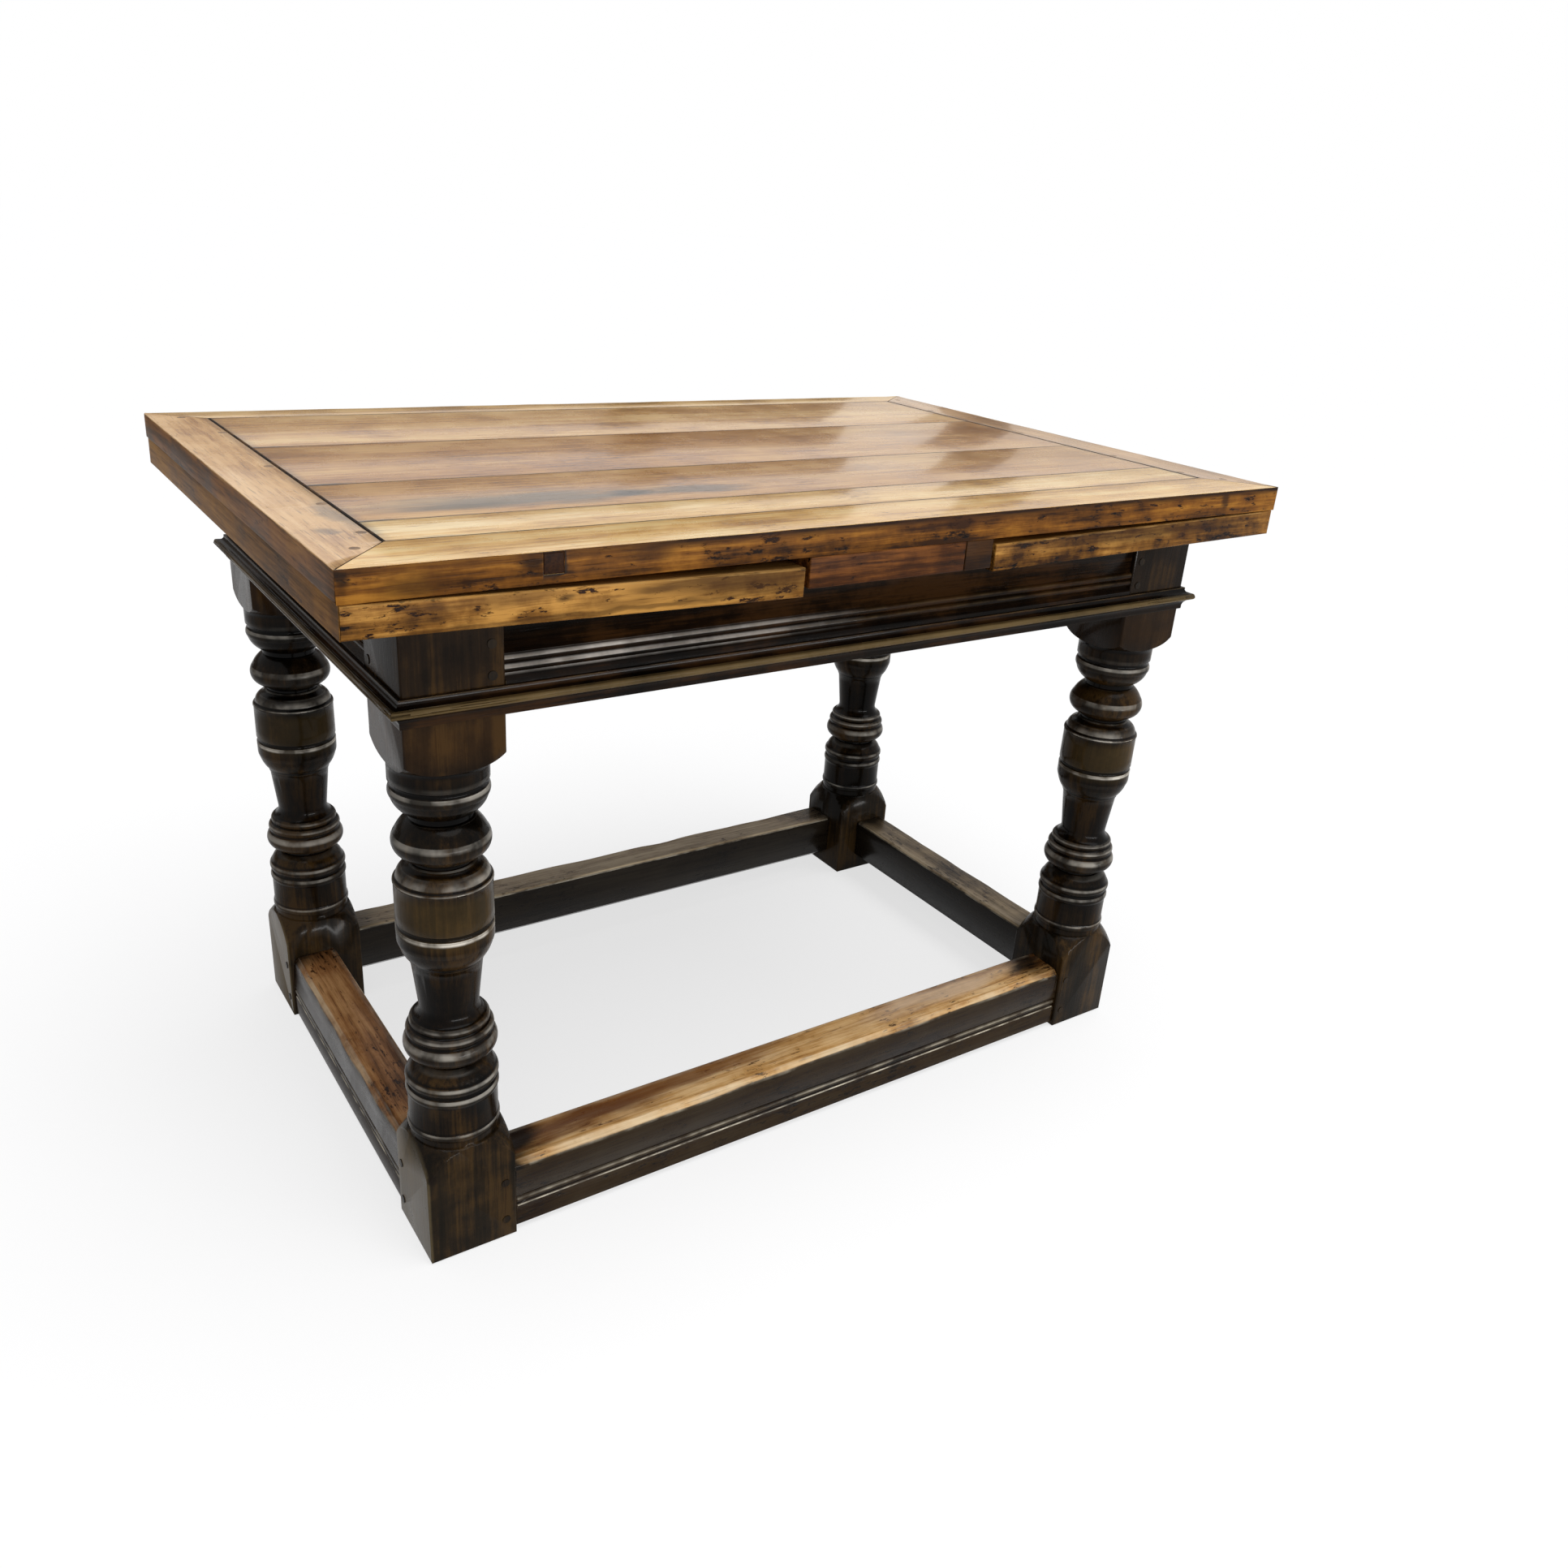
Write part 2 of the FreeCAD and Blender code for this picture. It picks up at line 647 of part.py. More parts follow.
def leaf(name, side, inset, droop, inner, spread):
    outer = side * (half_length - inset)
    x_pair = (min(outer, inner), max(outer, inner))
    z_pair = (leaf_top - leaf_thickness, leaf_top)
    clamped = (side < 0, side > 0)
    angle = leaf_lean(side, outer, inner, droop)
    seams = (boards_front, -leaf_middle_width / 2, leaf_middle_width / 2, boards_rear)

    def leaned(shapes):
        copies = [shape.copy() for shape in shapes]
        for copy in copies:
            copy.rotate(V(outer, 0, leaf_top), V(0, 1, 0), angle)
        return copies

    holes = loper_pegs(side, outer, inner, spread, peg_slack)
    for piece_name, piece in framed_panel(x_pair, clamped, seams, z_pair).items():
        if piece_name.endswith("clamp"):
            piece_name = "end_clamp"
        save(name + "_leaf_" + piece_name, leaned([piece.cut(holes)]))
    pegs = loper_pegs(side, outer, inner, spread, 0)
    pegs += panel_pegs(x_pair, clamped, seams, z_pair, 0)
    save(name + "_leaf_pegs", leaned(pegs))
    for end, y in (("front", -spread), ("rear", spread)):
        save(name + "_loper_" + end, [loper(side, outer, inner, angle, y).cut(leaned(holes))])


os.makedirs("parts", exist_ok=True)
legs()
aprons()
mouldings()
stretchers()
frame_pegs()
bearers()
centre()
top()
for leaf_name, values in SIDES.items():
    leaf(leaf_name, *values)
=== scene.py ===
import json
import math

import bmesh
import bpy
from mathutils import Matrix, Vector, noise


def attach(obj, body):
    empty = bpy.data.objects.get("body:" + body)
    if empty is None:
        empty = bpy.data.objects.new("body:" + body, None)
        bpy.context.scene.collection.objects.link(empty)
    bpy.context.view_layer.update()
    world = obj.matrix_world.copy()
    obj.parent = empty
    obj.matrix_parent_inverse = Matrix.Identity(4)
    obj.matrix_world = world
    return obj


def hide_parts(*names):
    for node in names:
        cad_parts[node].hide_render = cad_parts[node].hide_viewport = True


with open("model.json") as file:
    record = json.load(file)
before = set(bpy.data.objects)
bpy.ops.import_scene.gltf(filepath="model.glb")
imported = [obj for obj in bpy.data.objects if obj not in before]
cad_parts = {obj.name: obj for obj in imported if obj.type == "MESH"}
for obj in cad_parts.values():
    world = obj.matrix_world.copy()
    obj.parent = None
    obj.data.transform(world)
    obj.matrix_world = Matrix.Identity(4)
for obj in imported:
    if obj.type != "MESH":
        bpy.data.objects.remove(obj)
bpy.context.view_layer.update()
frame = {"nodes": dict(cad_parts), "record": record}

MM = 0.001
X, Y, Z = 0, 1, 2

# Where things lie in the solids, in metres
TOP_END = 0.575
TOP_SIDE = 0.376
TOP_FACE = 0.780
CLAMP_LINE = 0.513
FRAME_END = 0.509
FRAME_SIDE = 0.3125
LEG_SIZE = 0.097
LEG_AXIS = (0.4605, 0.264, 0)
STRETCHER_TOP = 0.092
TURNED_FOOT = 0.145
# What lies this close to a face is on it.
NEAR = 0.5 * MM
CLAMP_NEAR = 2 * MM
# The heights between which these start and end, softly
TURNED = ((0.132, 0.142), (0.550, 0.560))
DRUM = ((0.374, 0.388), (0.426, 0.436))
REEDS = ((0.650, 0.653), (0.668, 0.671))
# Where these start to show and where they show in full
ARRIS_HEIGHTS = (0.7705, 0.7775)
ARRIS_RUN = (-0.45, -0.20)
NECK_RADII = (0.041, 0.031)
CAPITAL_HEIGHTS = (0.550, 0.585)
BLOCK_HEIGHTS = (0.640, 0.605)
FOOT_HEIGHTS = (0.150, 0.115)
FOOT_SIDE = (-0.5060, -0.5085)
TREAD_HEIGHTS = (0.070, 0.080)
TREAD_PAST_LEG = (0.080, 0.030)
NOSE_REACH = (0.0085, 0.0125)
REED_FRONT = (-0.28, -0.30)
REED_RUN = (0.00, -0.22)

# How wide the marks in the oak are
BAND_WIDTH = 34 * MM
FIBRE_WIDTH = 6 * MM
# Pores are finer than a millimetre, and are drawn 2 mm wide so that they show.
PORE_WIDTH = 2 * MM
FIBRE_DEPTH = 0.6 * MM
PATCH_WIDTH = 110 * MM
KNOCK_AND_GLINT_SPACING = 30 * MM
# How many times longer than wide they are along the grain
FIBRE_STRETCH = 22
DENT_STRETCH = 3.5
# How much they change the tone, and where the deep, the middle and the pale tone lie
BAND_SHARE = 0.34
FIBRE_SHARE = 0.36
EVEN_MOTTLE = 0.36
DEEP, MIDDLE, PALE = 0.44, 0.53, 0.62
# A stain starts to fade at this share of its reach.
FADE_START = 0.25

# What counts as a corner
SHARP = math.radians(42)
SQUARE = math.radians(80)
FULL_BEND = math.radians(30)
SHORT_EDGE = 9 * MM
NARROW = 2.5 * MM
SLIVER = 6 * MM
RING_HEIGHT = 8 * MM
SMALL_FACE = 900 * MM * MM
TOUCH = 0.01 * MM
CUT_TOUCH = 0.001 * MM

# How far the corners are rounded
ROUNDING_STEPS = 3
OUTLINE_ROUND = 2.2 * MM
FRONT_ROUND = 1.4 * MM
CLAMP_SEAM_ROUND = 1.7 * MM
SEAM_ROUND = 0.9 * MM
PLUG_ROUND = 0.8 * MM
GRIP_ROUND = 1.8 * MM
LEAF_ROUND = 0.8 * MM
CENTRE_ROUND = 1.4 * MM
APRON_ROUND = 0.8 * MM
MOULDING_ROUND = 0.7 * MM
FOOT_ROUND = 3.5 * MM
LEG_ROUND = 2.4 * MM
# How deep the wear goes, and how long its waves are
RIM_WEAR = {"depth": 0.9 * MM, "length": 55 * MM}
NOSE_WEAR = {"depth": 1.6 * MM, "length": 40 * MM}
CORNER_WEAR = {"depth": 5 * MM, "length": 70 * MM}
TREAD_WEAR = {"depth": 2 * MM, "length": 45 * MM}
# How long the slices are that let it come and go
RIM_SLICE = 24 * MM
NOSE_SLICE = 18 * MM
TREAD_SLICE = 16 * MM
TREAD_STRIP = 9 * MM
# How far from the outline or the top it starts, and within what length it grows to the full
RIM_REACH = 3 * MM
NOSE_START = 8 * MM
TREAD_REACH = 6 * MM
CORNER_IN = 20 * MM
CORNER_IN_GROWTH = 16 * MM
CORNER_DOWN = 26 * MM
CORNER_DOWN_GROWTH = 14 * MM

bodies = {node: body for body, nodes in frame["record"]["behaviour"]["bodies"].items()
          for node in nodes}


def srgb(code):
    """A hex colour as linear red, green, blue and alpha."""
    shares = [int(code[i:i + 2], 16) / 255 for i in (1, 3, 5)]
    return [s / 12.92 if s <= 0.04045 else ((s + 0.055) / 1.055) ** 2.4 for s in shares] + [1]


def add(tree, kind, inputs=None, out=0, **settings):
    """Adds a node with its settings, its values and its links, and hands on one of its outputs."""
    node = tree.nodes.new("ShaderNode" + kind)
    for name, value in settings.items():
        setattr(node, name, value)
    for key, value in (inputs or {}).items():
        if isinstance(value, bpy.types.NodeSocket):
            tree.links.new(value, node.inputs[key])
        else:
            node.inputs[key].default_value = value
    return node.outputs[out] if node.outputs else None


# Oak, waxed for centuries

def blank(name):
    """A new material with nothing in it yet, and its tree."""
    material = bpy.data.materials.new(name)
    material.use_nodes = True
    material.node_tree.nodes.clear()
    return material, material.node_tree


def stretched(axis, times):
    """The scale that draws a pattern out along an axis."""
    scale = [1, 1, 1]
    scale[axis] = 1 / times
    return scale


def between(start, full):
    """The values of a mark that starts to show at one place and shows in full at another."""
    return {"From Min": start, "From Max": full}


def span(tree, value, rise, fall):
    """1 between two places, with a soft start and a soft end, each given by where it lies."""
    low = add(tree, "MapRange", {"Value": value, **between(rise[0], rise[1])})
    high = add(tree, "MapRange", {"Value": value, **between(fall[1], fall[0])})
    return add(tree, "Math", {0: low, 1: high}, operation="MULTIPLY")


def patch(tree, place, middle, reach, ragged):
    """1 within a ragged patch, given in mm by its middle and its reach each way, and 0 beyond.

    The rim is drawn out along the table, as most of the grain is.
    """
    wander = 3 * ragged
    stir = add(tree, "VectorMath", {0: place, 1: (0.2, 1, 1)}, operation="MULTIPLY")
    stir = add(tree, "TexNoise", {"Vector": stir, "Scale": 1 / (wander * MM), "Detail": 4},
               out="Color")
    stir = add(tree, "VectorMath", {0: stir, 1: (0.5, 0.5, 0.5)}, operation="SUBTRACT")
    moved = add(tree, "VectorMath",
                {0: stir, 1: [(wander + 0.7 * r) * MM for r in reach], 2: place},
                operation="MULTIPLY_ADD")
    off = add(tree, "VectorMath", {0: moved, 1: [c * MM for c in middle]}, operation="SUBTRACT")
    off = add(tree, "VectorMath", {0: off, 1: [r * MM for r in reach]}, operation="DIVIDE")
    far = add(tree, "VectorMath", {0: off}, out="Value", operation="LENGTH")
    return add(tree, "MapRange", {"Value": far, "From Min": FADE_START, "From Max": 1,
                                  "To Min": 1, "To Max": 0}, interpolation_type="SMOOTHSTEP")


def marked(marks):
    """A finish of single stains, scuffs and knots, and of a few lines of painted shade.

    Each has its middle, its reach, its raggedness, its tone and its strength.
    """
    def finish(tree, place, up, patches, colour):
        for middle, reach, ragged, tone, strength in marks:
            share = patch(tree, place, middle, reach, ragged)
            share = add(tree, "Math", {0: share, 1: strength}, operation="MULTIPLY")
            colour = add(tree, "Mix", {"Factor": share, "A": colour, "B": srgb(tone)}, out=2,
                         data_type="RGBA")
        return colour
    return finish


def bent(tree, moved, up, colour, wear_and_painted_highlight):
    """Darker in the hollows of a piece, and a pale tone just above the crests of its bends.

    The pale tone is partly wear and partly a painted highlight that stands for their shine, which
    is too thin for the lamps to show.
    """
    bend = add(tree, "Attribute", out="Fac", attribute_name="wear_and_painted_highlight")
    hollow = add(tree, "MapRange", {"Value": bend, "From Min": -0.1, "From Max": -0.6,
                                    "To Max": 0.85})
    colour = add(tree, "Mix", {"Factor": hollow, "A": colour, "B": srgb("#1d1610")}, out=2,
                 data_type="RGBA", blend_type="MULTIPLY")
    corner = add(tree, "MapRange", {"Value": bend, "From Min": 0.12, "From Max": 0.5})
    blunt = add(tree, "MapRange", {"Value": bend, "From Min": 0.7, "From Max": 1, "To Min": 1,
                                   "To Max": 0.5})
    knocks_and_glints = add(tree, "TexNoise", {"Vector": moved, "Scale": 1 / KNOCK_AND_GLINT_SPACING, "Detail": 3})
    knocks_and_glints = add(tree, "MapRange", {"Value": knocks_and_glints, "From Min": 0.40, "From Max": 0.62,
                                    "To Min": 0.12})
    # The painted highlight is kept to the upper side of each crest, where the light falls.
    upper = add(tree, "MapRange", {"Value": up, "From Min": 0.05, "From Max": 0.25,
                                   "To Min": 0.05})
    crest = add(tree, "MapRange", {"Value": up, "From Min": 0.70, "From Max": 0.45,
                                   "To Min": 0.2})
    for mask in (blunt, knocks_and_glints, upper, crest):
        corner = add(tree, "Math", {0: corner, 1: mask}, operation="MULTIPLY")
    return add(tree, "Mix", {"Factor": corner, "A": colour, "B": srgb(wear_and_painted_highlight)}, out=2,
               data_type="RGBA")


def oak(name, axis, shift, tones, polish, gloss, wax=0, finishes=(), specks=0.5, wear_and_painted_highlight=None,
        mottle=EVEN_MOTTLE, dent=11):
    """Oak with its fibres along an axis, in tones from deep to pale.

    Polish is its roughness, specks how dark its dents are, and mottle how much the patches of old
    polish change its tone. A single dent is half as wide as dent says, in mm. Finishes are laid
    over the wood in turn. A tone given for the bends makes their crests paler, partly as wear
    and partly as a painted highlight, and their hollows darker.
    """
    # It was sawn, planed or turned, then waxed. The eye sees long fibres and open pores, patches of
    # old polish, dark dirt in the seams, darker hollows, and a pale tone on corners that is partly
    # bare wood, worn and knocked, and partly a painted highlight.
    material, tree = blank(name)
    place = add(tree, "TexCoord", out="Object")
    up = add(tree, "SeparateXYZ", {0: add(tree, "NewGeometry", out="Normal")}, out="Z")
    moved = add(tree, "Mapping", {"Vector": place, "Location": (shift, 0.37 * shift, 0)})
    along = add(tree, "Mapping", {"Vector": moved, "Scale": stretched(axis, FIBRE_STRETCH)})
    # Broad bands of heart and sap, fibres a hand long, and pores
    bands = add(tree, "TexNoise", {"Vector": along, "Scale": 1 / BAND_WIDTH, "Detail": 3,
                                   "Roughness": 0.5, "Distortion": 0.6})
    fibres = add(tree, "TexNoise", {"Vector": along, "Scale": 1 / FIBRE_WIDTH, "Detail": 5,
                                    "Roughness": 0.65})
    pores = add(tree, "TexNoise", {"Vector": along, "Scale": 1 / PORE_WIDTH, "Detail": 2,
                                   "Roughness": 0.6})
    pits = add(tree, "MapRange", {"Value": pores, "From Min": 0.56, "From Max": 0.72})
    # Patches of old polish, about a hand wide
    patches = add(tree, "TexNoise", {"Vector": moved, "Scale": 1 / PATCH_WIDTH, "Detail": 6,
                                     "Roughness": 0.62})
    value = add(tree, "Math", {0: bands, 1: BAND_SHARE}, operation="MULTIPLY")
    value = add(tree, "Math", {0: fibres, 1: FIBRE_SHARE, 2: value}, operation="MULTIPLY_ADD")
    value = add(tree, "Math", {0: patches, 1: mottle, 2: value}, operation="MULTIPLY_ADD")
    value = add(tree, "Math", {0: value, 1: 0.5 * (mottle - EVEN_MOTTLE)}, operation="SUBTRACT")
    colour = add(tree, "ValToRGB", {"Fac": value}, out="Color")
    stops = colour.node.color_ramp.elements
    stops[0].position = DEEP
    stops[0].color = srgb(tones[0])
    stops[1].position = PALE
    stops[1].color = srgb(tones[2])
    stops.new(MIDDLE).color = srgb(tones[1])
    pit_share = add(tree, "Math", {0: pits, 1: 0.6}, operation="MULTIPLY")
    colour = add(tree, "Mix", {"Factor": pit_share, "A": colour, "B": srgb("#6d5236")}, out=2,
                 data_type="RGBA", blend_type="MULTIPLY")
    # Dents and worm holes, in clusters
    dents = add(tree, "Mapping", {"Vector": moved, "Scale": stretched(axis, DENT_STRETCH)})
    dents = add(tree, "TexNoise", {"Vector": dents, "Scale": 1 / (dent * MM), "Detail": 5,
                                   "Roughness": 0.72})
    cluster = add(tree, "MapRange", {"Value": patches, "From Min": 0.36, "From Max": 0.62,
                                     "To Min": 0.60 - 0.10 * specks,
                                     "To Max": 0.76 - 0.10 * specks})
    dents = add(tree, "Math", {0: dents, 1: cluster}, operation="SUBTRACT")
    dents = add(tree, "MapRange", {"Value": dents, "From Min": 0, "From Max": 0.06,
                                   "To Max": specks})
    colour = add(tree, "Mix", {"Factor": dents, "A": colour, "B": srgb("#3a2413")}, out=2,
                 data_type="RGBA", blend_type="MULTIPLY")
    for finish in finishes:
        colour = finish(tree, place, up, patches, colour)
    if wear_and_painted_highlight:
        colour = bent(tree, moved, up, colour, wear_and_painted_highlight)
    rough = add(tree, "MapRange", {"Value": patches, "From Min": 0.3, "From Max": 0.7,
                                   "To Min": polish - 0.05, "To Max": polish + 0.08})
    height = add(tree, "Math", {0: pits, 1: -0.5, 2: fibres}, operation="MULTIPLY_ADD")
    height = add(tree, "Math", {0: dents, 1: -0.6, 2: height}, operation="MULTIPLY_ADD")
    bump = add(tree, "Bump", {"Height": height, "Strength": 0.3, "Distance": FIBRE_DEPTH})
    shader = add(tree, "BsdfPrincipled", {"Base Color": colour, "Roughness": rough,
                                          "Normal": bump, "IOR": 1.5,
                                          "Specular IOR Level": gloss, "Coat Weight": wax,
                                          "Coat Roughness": 0.12})
    add(tree, "OutputMaterial", {"Surface": shader})
    return material


def gathered(axis, lines, reach):
    """A finish for the top: dirt that has gathered by the seams.

    The seams are given by their places along an axis, in mm.
    """
    def finish(tree, place, up, patches, colour):
        along = add(tree, "SeparateXYZ", {0: place}, out="XYZ"[axis])
        broken = add(tree, "MapRange", {"Value": patches, "From Min": 0.38, "From Max": 0.58,
                                        "To Min": 0.25})
        for line in lines:
            off = add(tree, "Math", {0: along, 1: line * MM}, operation="SUBTRACT")
            off = add(tree, "Math", {0: off}, operation="ABSOLUTE")
            dirt = add(tree, "MapRange", {"Value": off, "From Min": 0, "From Max": reach * MM,
                                          "To Min": 0.6, "To Max": 0},
                       interpolation_type="SMOOTHSTEP")
            dirt = add(tree, "Math", {0: dirt, 1: broken}, operation="MULTIPLY")
            colour = add(tree, "Mix", {"Factor": dirt, "A": colour, "B": srgb("#2c1c10")}, out=2,
                         data_type="RGBA")
        return colour
    return finish


def painted_arris_shade(tree, place, up, patches, colour):
    """A finish for the top's front edge: a painted shade, a dark line just under its upper corner.
    """
    height = add(tree, "SeparateXYZ", {0: place}, out="Z")
    run = height.node.outputs["X"]
    line = add(tree, "MapRange", {"Value": height, **between(*ARRIS_HEIGHTS)})
    length = add(tree, "MapRange", {"Value": run, **between(*ARRIS_RUN), "To Min": 0.45,
                                    "To Max": 1.3})
    line = add(tree, "Math", {0: line, 1: length}, operation="MULTIPLY")
    line = add(tree, "Math", {0: line, 1: patches}, operation="MULTIPLY")
    line = add(tree, "Math", {0: line, 1: 1.5}, operation="MULTIPLY", use_clamp=True)
    return add(tree, "Mix", {"Factor": line, "A": colour, "B": srgb("#241207")}, out=2,
               data_type="RGBA")


def turned_wear(tree, place, up, patches, colour):
    """A finish for the legs: black necks, tan drums, brown capitals, and feet greyer and paler on
    their left faces.
    """
    reach = add(tree, "VectorMath", {0: place}, operation="ABSOLUTE")
    reach = add(tree, "VectorMath", {0: reach, 1: LEG_AXIS}, operation="SUBTRACT")
    reach = add(tree, "VectorMath", {0: reach, 1: (1, 1, 0)}, operation="MULTIPLY")
    radius = add(tree, "VectorMath", {0: reach}, out="Value", operation="LENGTH")
    height = add(tree, "SeparateXYZ", {0: place}, out="Z")
    side = height.node.outputs["X"]
    turned = span(tree, height, *TURNED)
    neck = add(tree, "MapRange", {"Value": radius, **between(*NECK_RADII), "To Max": 0.7})
    neck = add(tree, "Math", {0: neck, 1: turned}, operation="MULTIPLY")
    colour = add(tree, "Mix", {"Factor": neck, "A": colour, "B": srgb("#4a3a28")}, out=2,
                 data_type="RGBA", blend_type="MULTIPLY")
    drum = span(tree, height, *DRUM)
    drum = add(tree, "Math", {0: drum, 1: patches}, operation="MULTIPLY")
    drum = add(tree, "Math", {0: drum, 1: 0.5}, operation="MULTIPLY")
    colour = add(tree, "Mix", {"Factor": drum, "A": colour, "B": srgb("#62502f")}, out=2,
                 data_type="RGBA")
    capital = add(tree, "MapRange", {"Value": height, **between(*CAPITAL_HEIGHTS),
                                     "To Max": 0.32})
    block = add(tree, "MapRange", {"Value": height, **between(*BLOCK_HEIGHTS), "To Min": 0.3})
    capital = add(tree, "Math", {0: capital, 1: block}, operation="MULTIPLY")
    capital = add(tree, "Math", {0: capital, 1: patches}, operation="MULTIPLY")
    colour = add(tree, "Mix", {"Factor": capital, "A": colour, "B": srgb("#5f3e1a")}, out=2,
                 data_type="RGBA")
    foot = add(tree, "MapRange", {"Value": height, **between(*FOOT_HEIGHTS)})
    outer = add(tree, "MapRange", {"Value": side, **between(*FOOT_SIDE), "To Min": 0.04,
                                   "To Max": 0.8})
    grey_left_face = add(tree, "Math", {0: foot, 1: outer}, operation="MULTIPLY")
    grey_left_face = add(tree, "Math", {0: grey_left_face, 1: patches}, operation="MULTIPLY")
    return add(tree, "Mix", {"Factor": grey_left_face, "A": colour, "B": srgb("#7f7053")}, out=2,
               data_type="RGBA")


def trodden(axis):
    """A finish for a stretcher along an axis: its sides black, and its top trodden to bare wood.

    It is palest on the outer corner, partly from wear and partly as a painted highlight, and dark
    again by the legs.
    """
    def finish(tree, place, up, patches, colour):
        height = add(tree, "SeparateXYZ", {0: place}, out="Z")
        run = add(tree, "Math", {0: height.node.outputs["XYZ"[axis]]}, operation="ABSOLUTE")
        top = add(tree, "MapRange", {"Value": up, "From Min": 0.30, "From Max": 0.70})
        high = add(tree, "MapRange", {"Value": height, **between(*TREAD_HEIGHTS)})
        bare = add(tree, "Math", {0: top, 1: high}, operation="MULTIPLY")
        leg = (FRAME_END, FRAME_SIDE)[axis] - LEG_SIZE
        ends = add(tree, "Math", {0: patches, 1: 0.16, 2: run}, operation="MULTIPLY_ADD")
        ends = add(tree, "MapRange", {"Value": ends,
                                      **between(*(leg + past for past in TREAD_PAST_LEG))})
        bare = add(tree, "Math", {0: bare, 1: ends}, operation="MULTIPLY")
        dull = add(tree, "Mix", {"Factor": 0.96, "A": colour, "B": srgb("#0d0906")}, out=2,
                   data_type="RGBA")
        colour = add(tree, "Mix", {"Factor": bare, "A": dull, "B": colour}, out=2,
                     data_type="RGBA")
        # The pale outer corner is partly worn bare wood and partly a painted highlight.
        corner = span(tree, up, (0.50, 0.65), (0.82, 0.93))
        corner = add(tree, "Math", {0: corner, 1: bare}, operation="MULTIPLY")
        broken = add(tree, "MapRange", {"Value": patches, "From Min": 0.42, "From Max": 0.62,
                                        "To Max": 0.7})
        corner = add(tree, "Math", {0: corner, 1: broken}, operation="MULTIPLY")
        return add(tree, "Mix", {"Factor": corner, "A": colour, "B": srgb("#d8c3a0")}, out=2,
                   data_type="RGBA")
    return finish


def bumped_nose(tree, place, up, patches, colour):
    """A finish for the base moulding: its nose is knocked and worn back to an olive tan."""
    reach = add(tree, "VectorMath", {0: place}, operation="ABSOLUTE")
    reach = add(tree, "VectorMath", {0: reach, 1: (FRAME_END, FRAME_SIDE, 0)},
                operation="SUBTRACT")
    out = add(tree, "SeparateXYZ", {0: reach}, out="X")
    out = add(tree, "Math", {0: out, 1: out.node.outputs["Y"]}, operation="MAXIMUM")
    worn = add(tree, "MapRange", {"Value": out, **between(*NOSE_REACH)})
    worn = add(tree, "Math", {0: worn, 1: patches}, operation="MULTIPLY")
    worn = add(tree, "Math", {0: worn, 1: 1.6}, operation="MULTIPLY", use_clamp=True)
    return add(tree, "Mix", {"Factor": worn, "A": colour, "B": srgb("#6b5939")}, out=2,
               data_type="RGBA")


def reed_shine(tree, place, up, patches, colour):
    """A finish for the front apron: a silver tone for the shine on the left half of its reeds."""
    run = add(tree, "SeparateXYZ", {0: place}, out="X")
    front = add(tree, "MapRange", {"Value": run.node.outputs["Y"], **between(*REED_FRONT)})
    left = add(tree, "MapRange", {"Value": run, **between(*REED_RUN), "To Max": 0.95})
    reeds = span(tree, run.node.outputs["Z"], *REEDS)
    upper = span(tree, up, (0, 0.2), (0.70, 0.95))
    broken = add(tree, "MapRange", {"Value": patches, "From Min": 0.40, "From Max": 0.58,
                                    "To Min": 0.35})
    share = front
    for mask in (left, reeds, upper, broken):
        share = add(tree, "Math", {0: share, 1: mask}, operation="MULTIPLY")
    return add(tree, "Mix", {"Factor": share, "A": colour, "B": srgb("#cfcac3")}, out=2,
               data_type="RGBA")


# The top is the palest and has the most polish: planed boards, waxed and wiped every day.
SEAM_ENDS = tuple(((-494, y, 780), (34, 7, 30), 4, "#2b211a", 0.75) for y in (-233, -76, 128))
STAINS = SEAM_ENDS + (
    ((-325, -186, 780), (230, 40, 40), 9, "#665744", 0.90),
    ((-400, -200, 780), (90, 16, 40), 4, "#42351f", 0.70),
    ((-224, -188, 780), (36, 16, 40), 4, "#2f2116", 0.90),
    ((-140, -190, 780), (80, 24, 40), 6, "#503d29", 0.80),
)
CLAMP_STAINS = (
    ((-524, -196, 780), (16, 70, 40), 8, "#544639", 0.60),
    ((-547, -257, 780), (14, 18, 40), 6, "#4a3626", 0.65),
)
TOP_TONES = {
    "top_front_rail": ("#bb8534", "#e8b560", "#f8d58e"),
    "top_rear_rail": ("#a97c38", "#d2a55c", "#e8c584"),
    "top_board_1": ("#ba873e", "#e4b76b", "#f5d79c"),
    "top_board_2": ("#945f24", "#b98543", "#d1a464"),
    "top_board_3": ("#905c24", "#b68141", "#d0a364"),
    "top_board_4": ("#9f6c31", "#c79551", "#dcb475"),
    "top_left_clamp": ("#ac773c", "#d6a566", "#eabe84"),
    "top_right_clamp": ("#84592e", "#b2844f", "#ca9d66"),
}
TOP_MARKS = {"top_board_2": STAINS, "top_board_3": SEAM_ENDS, "top_board_4": SEAM_ENDS,
             "top_left_clamp": CLAMP_STAINS}
CLAMP_SEAMS = (-513, 513)
TOP_SEAMS = (-304, -233, -76, 128, 324)
top_oaks = {}
for number, (node, tones) in enumerate(TOP_TONES.items()):
    finishes = [marked(TOP_MARKS.get(node, ()))]
    if "rail" not in node:
        finishes.append(gathered(X, CLAMP_SEAMS, reach=14))
    if "clamp" not in node:
        finishes.append(gathered(Y, TOP_SEAMS, reach=5))
    top_oaks[node] = oak("polished oak, " + node, axis=Y if "clamp" in node else X,
                         shift=1.3 * number, tones=tones, polish=0.25, gloss=0.5, wax=0.35,
                         finishes=finishes, wear_and_painted_highlight="#c9a97a", dent=5)
# The seams hold old wax and dirt, and show as thin broken black lines.
seam_dirt = oak("wax and dirt in the seams", axis=X, shift=11,
                tones=("#0e0805", "#241810", "#5f452a"), polish=0.5, gloss=0.1)

